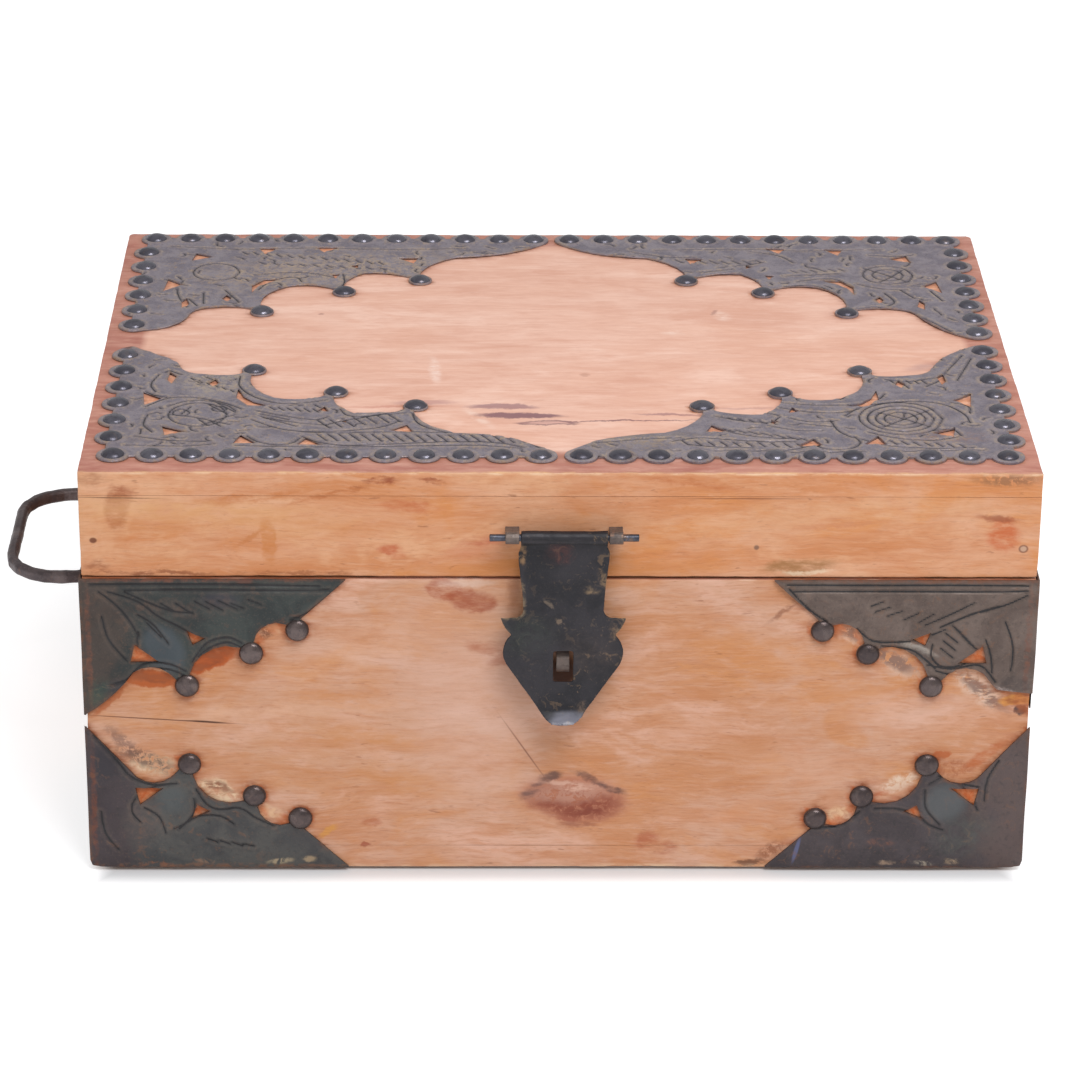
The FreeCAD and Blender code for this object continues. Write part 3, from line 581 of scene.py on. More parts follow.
# stains, knot, crack and scraped places on the body's front; the dark marks beside the hasp's neck (-22,
# 148) and along its lower left edge (-17, 104) are painted shade, and the dark patch behind its slot (1.6,
# 106) is painted shade with some dirt
frontMarks = readMarks("""
-140 84 50 4.5 4 .7 232 190 164 .5 .2
-95 118 34 10 24 .8 228 182 156 .45 .25
-100 92 26 5 -8 .7 204 134 76 .5 .2
-85 70 30 5 -6 .7 206 140 84 .5 .2
-70 46 24 8 -14 .7 206 142 88 .5 .2
90 120 36 8 -10 .7 206 140 88 .45 .2
120 92 30 5 4 .7 204 136 82 .45 .2
170 84 30 10 0 .7 230 186 166 .5 .25
120 54 26 9 -6 .7 230 184 160 .45 .25
92 30 22 6 4 .7 208 142 96 .5 .2
0 154.9 226 .6 0 .5 118 56 38 .85 sharp
112 154 9 .5 0 .5 226 190 164 .8 sharp
146 154.2 5 .5 0 .5 226 190 164 .8 sharp
88 154 4 .5 0 .5 222 184 156 .7 sharp
-45 100 32 40 18 .9 216 176 158 .35
-120 64 50 22 6 .9 200 138 86 .4 .25
105 70 42 22 -8 .9 196 136 96 .45 .2
1.6 106 7 9 0 .4 70 42 34 .9 sharp
-17 104 14 2.6 -52 .6 128 84 66 .45
-22 148 2.4 10 0 .7 150 96 68 .5
8 38 25 12.5 -6 .25 186 124 100 .7
8 37 23 10.5 -6 .3 150 84 64 .85 .35
8 36 20 8.5 -6 .4 134 66 50 .8 .08 blotched
6 41 18 5 6 .5 214 168 146 .5 .05 blotched
4 45 12 2.2 -8 .5 222 180 160 .7 .1
-12 42 7 2.2 40 .5 96 70 68 .85 .2
-4 50 5 2 20 .5 92 66 62 .85 .2
14 49 8 1.8 -28 .5 78 56 56 .9 .3
26 43 7 1.6 -16 .5 78 58 58 .9 .3
14 31 10 2.2 4 .5 130 68 54 .7 .1
9 24 9 2 0 .5 150 92 72 .7 .14
-36 76 24 34 0 .8 226 186 168 .45 .3
4 27 5 1.4 0 .5 158 92 72 .8
-54 149 9 5.4 -12 .2 168 90 60 .9 .22
-41 143 11 6 -14 .2 160 82 54 .92 .3
-30 118 13 4 -4 .25 176 108 78 .75 .25
-24 112 9 2.6 6 .4 172 102 74 .6 .2
43 14 6 4.5 20 .4 172 92 62 .7 .2
52 10 6 3.5 0 .4 166 88 60 .65 .2
-90 24 4.5 2.2 0 .4 178 106 72 .75 .25
-94 12.5 2.2 1.3 0 .4 160 84 60 .8
-16 64 .35 16 33 .8 138 90 72 .8 sharp
-192 80.3 34 .28 -3.6 .6 96 60 44 .85 sharp
-168 78.9 9 .5 -4 .6 66 40 30 .9 sharp
-45 152.5 12 2 0 .7 238 222 210 .3
-165 112 13.5 5 22 .15 178 84 34 .95
-166 111.5 12 3.4 22 .3 126 62 34 .75 .2
-194 102 13 4.6 -3 .15 176 88 40 .95
-193 103 11 3 -3 .3 128 68 40 .75 .2
-213 91 13 1.9 45 .3 178 100 58 .85
-135 130 7 4 20 .4 222 180 138 .7 .1
-139 126 4 2.5 30 .5 112 66 44 .8 .08 blotched
-194 56 12 5 -6 .35 226 198 166 .85 .12 blotched
-196 58 14 4 -20 .5 86 60 54 .75 .06 blotched
-208 68 10 3 -45 .5 112 84 74 .6 .1 blotched
-163 41 11 5.5 -28 .3 230 202 168 .9 .14 blotched
-164 44 9 2 -20 .5 126 76 54 .8 .06
-140 31 6 3.5 -15 .4 224 184 146 .8 .12 blotched
-111 19 5 1.6 40 .5 212 150 72 .7
138 126 7 4.2 -30 .4 222 184 160 .8 .12 blotched
136 128 9 3 -30 .5 110 66 50 .75 .07 blotched
108 140 11 1.6 40 .5 138 86 62 .7 .1
162 111 12 5.5 -28 .5 214 182 162 .7 .1 blotched
160 113 11 3.5 -28 .5 98 68 62 .7 .05 blotched
199 98 13 5.5 -42 .5 222 192 172 .75 .1 blotched
202 96 15 3.5 -42 .5 92 70 68 .7 .06
184 61.5 4.5 2 0 .25 182 96 52 .9
191 54 10 4.6 4 .3 164 98 66 .85 .2 blotched
206 62 13 3 42 .4 184 100 56 .85 .2
218 90.5 8 3.2 0 .25 216 150 78 .95
221 85 3.5 2.2 0 .2 62 58 62 .95
212 76 8 6 -30 .6 198 138 104 .7 .15
165 47 9 4.2 25 .35 230 206 184 .85 .14 blotched
152 40 8 1.5 10 .5 184 96 56 .8 .15
136 29 6.5 4 20 .35 226 188 150 .85 .12 blotched
104 9 7 3.5 40 .5 140 84 56 .8 .1 blotched
94 2.5 7 1.6 0 .5 96 60 44 .8 .06
""")
lidFrontMarks = readMarks("""
0 155.6 226 .5 0 .5 122 58 38 .8 sharp
-207 191 5.5 11 -6 .25 168 98 62 .8 .2
-204 197 6 4 20 .4 156 84 52 .6 .14
-218.6 174 1.7 1.4 0 .3 108 60 42 .9 sharp
-217 160 6 3.5 0 .5 150 88 56 .7 .14
-207 195.8 18 .35 -1 .6 92 54 36 .8 sharp
-136.5 174 3.4 12.5 3 .25 196 120 58 .8 .35
-145 176 8 1 35 .6 190 116 62 .6
-148 196 30 2.2 6 .5 190 112 54 .6 .16
-100 199 26 1.2 12 .5 176 100 52 .6 .12
-84 204.5 7 1.6 6 .4 146 72 44 .85 .14
-60 205 6 1.4 -10 .4 150 78 48 .8 .14
-70 191 14 2.4 -4 .5 190 102 62 .6 .16
-190 176 16 2.2 2 .5 206 128 76 .6 .2
-180 190 60 5 -3 .7 226 180 134 .55 .3
-190 157.4 26 1 0 .5 140 80 50 .75 .1
-120 157.4 30 .9 0 .5 150 88 54 .6 .08
60 204 20 2 -8 .5 184 106 60 .6 .16
130 182 20 1.4 6 .5 190 110 66 .55 .14
-81 170 4.5 3 0 .4 186 92 56 .75 .2
-76 168 3 4 10 .4 190 100 62 .5 .2
-36 174 10 2.4 6 .5 180 92 66 .75 .2
-40 168 12 5 0 .7 196 116 84 .4 .25
8 160 60 4 0 .8 192 122 66 .5
206 186 10 1.5 -8 .5 160 82 52 .8 .2
208 178 7 8 0 .4 196 98 52 .85 .2
204 187 9 1.6 -8 .4 150 76 46 .85 .2
217.5 170.5 2.2 2 0 .25 196 160 136 .9 0 110 66 50 sharp
87 196 26 .3 0 .6 130 78 50 .75 sharp
112 161 17 3.6 6 .4 150 104 58 .8 .2
116 158.4 12 1.2 4 .4 232 206 176 .7 .1
92 171 1.2 1.2 0 .4 110 84 72 .8 sharp
-150 184 70 8 -2 .9 206 138 78 .5 .25
150 190 60 6 2 .9 224 178 140 .5 .25
60 180 60 7 2 .9 224 176 140 .5 .25
-218 205 7 3 0 .5 164 106 70 .6 .15
208 206 14 2.5 0 .6 120 88 66 .6 .08 blotched
""")
topLooks = {
    "grainAlong": 0, "patchAlong": 7.0, "patchAcross": 12.0, "shift": (0, 0, 0), "waviness": 0.006,
    "light": (231, 185, 165), "warm": (227, 178, 156), "band": (217, 164, 142), "pale": (240, 200, 182),
    "amber": (217, 164, 142), "blush": (240, 200, 182), "fibre": (208, 152, 130), "pore": (188, 134, 114),
    "worn": (226, 184, 136), "border": (192, 136, 120), "borderDark": (168, 106, 92),
    "pocket": (212, 144, 108), "pocketPale": (228, 172, 142), "stain": (206, 146, 124),
    "dirt": (150, 96, 74), "stainShare": 0.4, "contrast": 0.8, "fleckShare": 0.3,
}
frontLooks = {
    "grainAlong": 0, "patchAlong": 11.0, "patchAcross": 20.0, "shift": (3, 5, 2), "waviness": 0.016,
    "light": (208, 162, 136), "warm": (202, 144, 106), "band": (194, 128, 84), "pale": (218, 174, 152),
    "amber": (206, 142, 92), "blush": (224, 178, 156), "fibre": (182, 120, 84), "pore": (146, 90, 62),
    "worn": (232, 196, 162), "pocket": (196, 98, 48), "pocketPale": (208, 128, 84),
    "stain": (178, 108, 70), "dirt": (142, 74, 42), "stainShare": 0.6, "contrast": 0.85, "fleckShare": 0.5,
}
lidFrontLooks = dict(
    frontLooks, patchAlong=8.0, patchAcross=26.0, shift=(7, 1, 9), contrast=0.7, light=(216, 158, 122),
    warm=(208, 142, 98), band=(200, 126, 78), pale=(226, 176, 144), amber=(212, 138, 78),
    blush=(226, 174, 136), fibre=(188, 118, 76), pore=(140, 84, 54))
sideLooks = dict(frontLooks, grainAlong=1, light=(206, 156, 124), warm=(196, 138, 98), shift=(1, 8, 4))
plainLooks = dict(
    frontLooks, light=(204, 158, 122), warm=(194, 144, 106), band=(180, 126, 88), shift=(9, 2, 6))

topWood = woodFinish("topWood", topLooks, topMarks, "top")
leftMarks = [mark for mark in frontMarks if mark["at"][0] - max(mark["at"][2:4]) < 3]
rightMarks = [mark for mark in frontMarks if mark["at"][0] + max(mark["at"][2:4]) > -3]
frontWoods = [woodFinish("frontWoodLeft", frontLooks, leftMarks),
              woodFinish("frontWoodRight", frontLooks, rightMarks)]
lidFrontWood = woodFinish("lidFrontWood", lidFrontLooks, lidFrontMarks)
sideWood = woodFinish("sideWood", sideLooks)
plainWood = woodFinish("plainWood", plainLooks)


def coverEdges(board, left, right):
    # the board's edges share the look of the walls under or over them
    for face in board.data.polygons:
        if face.normal.y < -0.6:
            face.material_index = left if face.center.x < 0 else right
        elif abs(face.normal.z) < 0.6:
            face.material_index = 1


lidPlates = [f"lid_plate_{row}_{side}" for row in rows for side in sides]
cornerPlates = [f"corner_plate_{row}_{side}_{level}" for row in rows for side in sides for level in levels]

topWear = [((1, -1), (2, 1), 0.0009)]
topBoard = makeBoard("lid_top_board", "topBoard", [(14, 14), (12, 12), (9,)], (2, 1), topWear)
paintByIron(topBoard, lidPlates, (2, 1))
giveTo(topBoard, "lid", "stained_wood", [topWood, sideWood, lidFrontWood], "lid_top_board")
coverEdges(topBoard, 2, 2)

frontBoard = makeBoard("body_front_board", "frontBoard", [(14, 14), (5,), (8, 7)], (1, -1), [])
paintByIron(frontBoard, cornerPlates, (1, -1))
giveTo(frontBoard, "body", "stained_wood", frontWoods, "body_front_board")
for face in frontBoard.data.polygons:
    face.material_index = 0 if face.center.x < 0 else 1

lidFront = makeBoard("lid_front_board", "lidFrontBoard", [(14, 14), (5,), (5, 3)], (1, -1), [])
giveTo(lidFront, "lid", "stained_wood", [lidFrontWood], "lid_front_board")

for side, out in (("left", -1), ("right", 1)):
    for level in ("body", "lid"):
        node = f"{level}_{side}_board"
        end = makeBoard(node, camel(node), [(5,), (9, 9), (5, 3)], (0, out), [((2, -1), (0, out), 0.001)])
        if level == "body":
            paintByIron(end, cornerPlates, (0, out))
        giveTo(end, level, "stained_wood", [sideWood], node)

for level in ("body", "lid"):
    node = f"{level}_back_board"
    backBoard = makeBoard(node, camel(node), [(11, 8), (5,), (5, 3)], (1, 1), [((2, -1), (1, 1), 0.001)])
    giveTo(backBoard, level, "plain_wood", [plainWood], node)

bottomWear = [((1, -1), (2, -1), 0.0008)]
bottomBoard = makeBoard("bottom_board", "bottomBoard", [(11, 8), (9, 8), (5,)], (2, -1), bottomWear)
giveTo(bottomBoard, "body", "plain_wood", [plainWood, sideWood, *frontWoods], "bottom_board")
coverEdges(bottomBoard, 2, 3)
print("boards made")


def studPlaces(node):
    spare = copyNode(node, "spareStuds")
    startEditing(spare, "VERT")
    selectAll()
    bpy.ops.mesh.separate(type="LOOSE")
    stopEditing()
    parts = [part for part in bpy.context.selected_objects if part.type == "MESH"]
    boxes = []
    for part in parts:
        corners = [vertex.co for vertex in part.data.vertices]
        boxes.append((Vector(map(min, *corners)), Vector(map(max, *corners))))
        bpy.data.objects.remove(part)
    return boxes


studNodes = {f"lid_studs_{row}_{side}": ("lid", (0, 0, 1)) for row in rows for side in sides}
studNodes.update({
    "front_studs": ("body", (0, -1, 0)),
    "left_side_studs": ("body", (-1, 0, 0)),
    "right_side_studs": ("body", (1, 0, 0)),
    "hinge_nails_body": ("body", (0, 1, 0)),
    "hinge_nails_lid": ("lid", (0, 1, 0)),
})
studSeats, allSeats = {}, []
for node, (body, up) in studNodes.items():
    upwards = Vector(up)
    seats = []
    for low, high in studPlaces(node):
        middle = (low + high) / 2
        half = (high - low) / 2
        rise = abs(half.dot(upwards)) * 2
        seat = middle - upwards * rise / 2
        radius = max(half[axis] for axis in range(3) if abs(up[axis]) < 0.5)
        seats.append((seat, radius, rise))
        allSeats.append((seat, upwards))
    studSeats[node] = seats
print("stud places:", {node: len(seats) for node, seats in studSeats.items()})

sheetMaking = {
    "cell": 0.0035,
    "edgeBevel": 0.0003,
    "lift": 0.0007,
    "heldWithin": 0.014,
    "grooveDepth": 0.00045,
    "grooveHalf": 0.00065,
    "ridgeRise": 0.00038,
    "ridgeAt": 0.0015,
    "ridgeHalf": 0.0008,
    "cupRise": 0.0006,
    "cupAt": 0.0066,
    "cupHalf": 0.0011,
    "rimReach": 0.0011,
}
seatTree = treeFor([seat for seat, up in allSeats])


def liftOf(spot):
    # how far the sheet stands off the wood here: nothing by a stud, a little between them
    nearest = seatTree.find(spot)[2]
    free = bounded((nearest - 0.006) / sheetMaking["heldWithin"])
    wave = 0.5 + 0.5 * noise.noise(spot * 42 + Vector((3, 1, 7)))
    return sheetMaking["lift"] * free * free * wave


def hill(distance, at, half):
    return math.exp(-((distance - at) / half) ** 2)


def reliefOf(spot, lineTree, onLid):
    # height of the chased relief here, and how much of a groove and of a ridge it is
    groove = ridge = height = 0.0
    if lineTree:
        distance = lineTree.find(spot)[2]
        groove = hill(distance, 0, sheetMaking["grooveHalf"])
        ridge = hill(distance, sheetMaking["ridgeAt"], sheetMaking["ridgeHalf"])
        height = sheetMaking["ridgeRise"] * ridge - sheetMaking["grooveDepth"] * groove
    if onLid:
        cup = hill(seatTree.find(spot)[2], sheetMaking["cupAt"], sheetMaking["cupHalf"])
        height = height * (1 - cup) + sheetMaking["cupRise"] * cup
        # the cup round each lid stud takes the ridges' tan as well, partly a painted highlight
        ridge = max(ridge, 0.7 * cup)
    return height, groove, ridge


def cutInCells(piece, axis, low, high, cell):
    steps = max(2, round((high - low) / cell))
    for step in range(1, steps):
        selectAll()
        where = [0, 0, 0]
        where[axis] = low + (high - low) * step / steps + 0.00013
        facing = [0, 0, 0]
        facing[axis] = 1
        bpy.ops.mesh.bisect(plane_co=where, plane_no=facing)


def fromSeat(spot):
    # the nearest stud's place and the way from it to here, along the sheet
    seat, up = allSeats[seatTree.find(spot)[1]]
    away = spot - seat
    return seat, away - up * away.dot(up)


# how far a lobe's corners are from its stud, how far its sides bow in, and the true circles' radii
lobes = {
    "nearest": 0.006,
    "farthest": 0.0086,
    "bow": 0.0002,
    "shortest": 0.004,
    "front": 0.0056,
    "lidInner": 0.0061,
    "lidOuter": 0.0079,
    "outerFrom": 0.0071,
}


def roundLobes(sheet):
    # the lobes round the studs are cut finer and brought onto true circles
    def isLobe(edge):
        first, second = (corner.co for corner in edge.verts)
        reaches = [fromSeat(end)[1].length for end in (first, second)]
        bowed = fromSeat((first + second) / 2)[1].length < min(reaches) - lobes["bow"]
        byStud = lobes["nearest"] < min(reaches) and max(reaches) < lobes["farthest"]
        return byStud and bowed and edge.calc_length() > lobes["shortest"]

    pick(sheet, "edges", isLobe)
    bpy.ops.mesh.subdivide(number_cuts=3)
    shape = bmesh.from_edit_mesh(sheet.data)
    for corner in shape.verts:
        if corner.select:
            seat, away = fromSeat(corner.co)
            ofLid = "lidOuter" if away.length > lobes["outerFrom"] else "lidInner"
            full = lobes["front" if seat.z < 0.2 else ofLid]
            corner.co += away * (full / away.length - 1)
    bmesh.update_edit_mesh(sheet.data)


def makeSheet(node, name, outwards, lineTree):
    low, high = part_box(node)
    sheet = copyNode(node, name)
    startEditing(sheet)
    selectAll()
    bpy.ops.mesh.dissolve_limited(angle_limit=math.radians(1))
    roundLobes(sheet)
    stopEditing()
    applyModifier(sheet, "BEVEL", width=sheetMaking["edgeBevel"], segments=1, limit_method="ANGLE",
                  angle_limit=math.radians(50), use_clamp_overlap=True)
    startEditing(sheet, "FACE")
    for axis in range(3):
        if high[axis] - low[axis] > 0.02:
            cutInCells(sheet, axis, low[axis], high[axis], sheetMaking["cell"])
    if node in brokenTips:
        edgePlace, facing, reach = brokenTips[node]

        def isByBreak(face):
            middle = face.calc_center_median()
            return middle.y < -0.1588 and (middle - Vector(edgePlace)).length < reach
        pick(sheet, "faces", isByBreak)
        bpy.ops.mesh.bisect(plane_co=edgePlace, plane_no=facing, clear_outer=True, use_fill=True)
    if "back" not in node or "lid" in node:
        outermost = Vector(outwards)
        pick(sheet, "faces", lambda f: f.normal.dot(outermost) > 0.98 and len(f.verts) > 4)
        bpy.ops.mesh.quads_convert_to_tris(quad_method="BEAUTY", ngon_method="BEAUTY")
        pick(sheet, "faces", lambda f: f.normal.dot(outermost) > 0.98)
        bpy.ops.mesh.subdivide(number_cuts=3)
    stopEditing()
    normals = [vertex.normal.copy() for vertex in sheet.data.vertices]
    rimTree = treeFor([vertex.co for vertex in sheet.data.vertices if max(map(abs, vertex.normal)) < 0.97])
    worn, grooves, ridges = [], [], []
    for vertex, normal in zip(sheet.data.vertices, normals):
        spot = vertex.co.copy()
        if spot.z < boardMaking["footCorner"]:
            vertex.co = roundFoot(spot, boardMaking["footCorner"])
        away = Vector((0, 0, 1)) if low.z > 0.2 else sideOf(spot)
        facing = max(0.0, normal.dot(Vector(outwards)))
        height, groove, ridge = reliefOf(spot, lineTree, low.z > 0.2) if facing > 0.5 else (0, 0, 0)
        vertex.co += away * (liftOf(spot) + height)
        rubbed = bounded(0.5 + 0.9 * noise.noise(spot * 45) + 0.5 * noise.noise(spot * 160))
        worn.append(bounded(1.2 - rimTree.find(spot)[2] / sheetMaking["rimReach"]) * rubbed)
        grooves.append(groove)
        ridges.append(ridge)
    paintValues(sheet, "wornEdge", worn)
    paintValues(sheet, "groove", grooves)
    paintValues(sheet, "ridge", ridges)
    for (across, down), (shiftX, shiftY), reach in bends.get(node, ()):
        middle = onPlate("top", across, down)
        for vertex in sheet.data.vertices:
            share = math.exp(-((vertex.co - middle).length / (reach * mm)) ** 2)
            vertex.co += Vector((shiftX, shiftY, 0)) * mm * share
    smoothEdgesOver(sheet, 32)
    return sheet


def sideOf(spot):
    # the way out of the wall of the body on which this point of a wrapped plate lies
    half = chest["halfWidth"]
    walls = [(chest["front"] - spot.y, (0, -1, 0)), (spot.y - chest["back"], (0, 1, 0)),
             (-half - spot.x, (-1, 0, 0)), (spot.x - half, (1, 0, 0))]
    return Vector(max(walls, key=lambda wall: wall[0])[1])


def tints(base, other, dark, dust, speck, worn, **more):
    return dict(base=base, other=other, dark=dark, dust=dust, speck=speck, worn=worn, **more)


# the lid's plates are painted much lighter than the same iron on the front: partly dust, partly painted
# light for the top that faces the lamps
lidIron = tints((142, 133, 142), (122, 115, 126), (66, 62, 70), (176, 156, 140), (168, 142, 118),
                (150, 126, 108), lit=(182, 162, 142), dustShare=0.5, speckShare=0.62, size=0.55,
                dents=0.0010, pits=0.0003)
frontIron = tints((64, 67, 64), (54, 56, 55), (42, 42, 44), (108, 92, 80), (120, 84, 62), (104, 68, 50),
                  lit=(112, 96, 86), dustShare=0.25, speckShare=0.35, litShare=0.26)
ironLooks = {
    "lid_plate_front_left": dict(lidIron, marks=readMarks("""
-167 -54 15 16 0 .5 178 162 146 .7 .08
-215 -55 3 12 0 .8 136 108 96 .5 .2
-213 -7 3 1.6 30 .4 96 52 48 .9
-180 -118 30 14 0 .8 134 116 108 .4 .2
""")),
    "lid_plate_front_right": dict(lidIron, marks=readMarks("""
30 -122 30 10 8 .6 156 136 112 .55 .12
168 -98 18 18 0 .6 142 124 122 .5 .15
182 -118 20 7 0 .6 148 112 96 .5 .1
30 -141 6 6 0 .4 96 70 66 .6
""")),
    "lid_plate_back_left": dict(lidIron, dustShare=0.4, marks=readMarks("""
-105 104 58 22 8 .6 184 160 138 .55 .06
-160 86 30 22 0 .6 166 146 132 .4 .06
""")),
    "lid_plate_back_right": dict(lidIron, dustShare=0.35, speckShare=0.25, marks=readMarks("""
185 94 24 20 0 .6 140 124 124 .4 .15
""")),
    "corner_plate_front_left_upper": dict(
        frontIron, base=(53, 59, 57), other=(45, 50, 50), far=(66, 57, 52),
        farAlong=(0, -0.196, -0.212), marks=readMarks("""
-187 118 9 13 28 .3 66 74 80 .8
-160 144 8 4 0 .6 54 52 60 .8
-148 153 3.5 2 0 .5 100 62 50 .7
-170 154.2 58 .9 0 .5 112 62 46 .85 .2
-190 139 34 5 0 .6 74 56 50 .5 .15
-222.5 120 1.4 36 0 .5 116 70 52 .75 .2
-211 99 10 3 18 .5 40 42 48 .85
-219 95 4 8 -30 .6 58 78 66 .7 .2
-131 131 10 2.6 24 .5 112 66 44 .7 .12
""")),
    "corner_plate_front_left_lower": dict(
        frontIron, base=(76, 75, 73), other=(66, 66, 67), far=(64, 55, 58),
        farAlong=(0, -0.196, -0.21), marks=readMarks("""
-217 58 6 10 0 .5 46 42 48 .85
-218 37 4 9 10 .6 52 46 52 .7 .25
-200 25 9 13 -20 .5 98 84 80 .7 .3
-186 37 7 7 0 .4 76 82 84 .6
-194 1.5 8 2 0 .4 148 92 62 .8 .12
-134 4 6 1.4 4 .4 176 158 128 .8 .12
-120 5 3 1.6 0 .4 168 146 116 .8 .12
-170 4 4 1.4 0 .4 148 112 88 .7 .12
-223 34 1.3 34 0 .5 112 64 46 .8 .2
-160 1.6 66 1 0 .5 124 90 70 .7 .12
-118 22 12 9 -38 .5 66 58 60 .5 .2
""")),
    "corner_plate_front_right_upper": dict(
        frontIron, base=(104, 89, 82), other=(90, 76, 70), dark=(60, 52, 48),
        dust=(136, 118, 106), marks=readMarks("""
175 154.2 55 .9 0 .5 122 74 56 .8 .2
222.5 125 1.4 30 0 .5 120 76 60 .75 .2
218 100 8 4 -8 .4 58 52 52 .85 .25
212 97 6 1.6 -20 .4 168 152 146 .7 .1
186 121 7 7 0 .4 102 88 82 .6
170 119 9 1.8 -22 .4 188 178 168 .7 .1
168 117 10 3 -22 .5 52 46 46 .6 .12
""")),
    "corner_plate_front_right_lower": dict(
        frontIron, base=(70, 62, 65), other=(62, 55, 58), far=(86, 72, 70),
        farAlong=(0, 0.196, 0.212), marks=readMarks("""
187 36 10 10 0 .35 84 88 90 .75
196 18 14 10 20 .6 84 92 86 .5 .25
160 3 5 1.4 0 .4 168 142 120 .8 .12
178 3 5 1.2 0 .4 172 160 142 .8 .12
192 4 4 1.6 0 .4 178 152 122 .8 .12
157 14 6 2 0 .5 116 76 62 .6 .1
116 10 1 6.5 -14 .4 92 98 134 .8 sharp
""")),
}
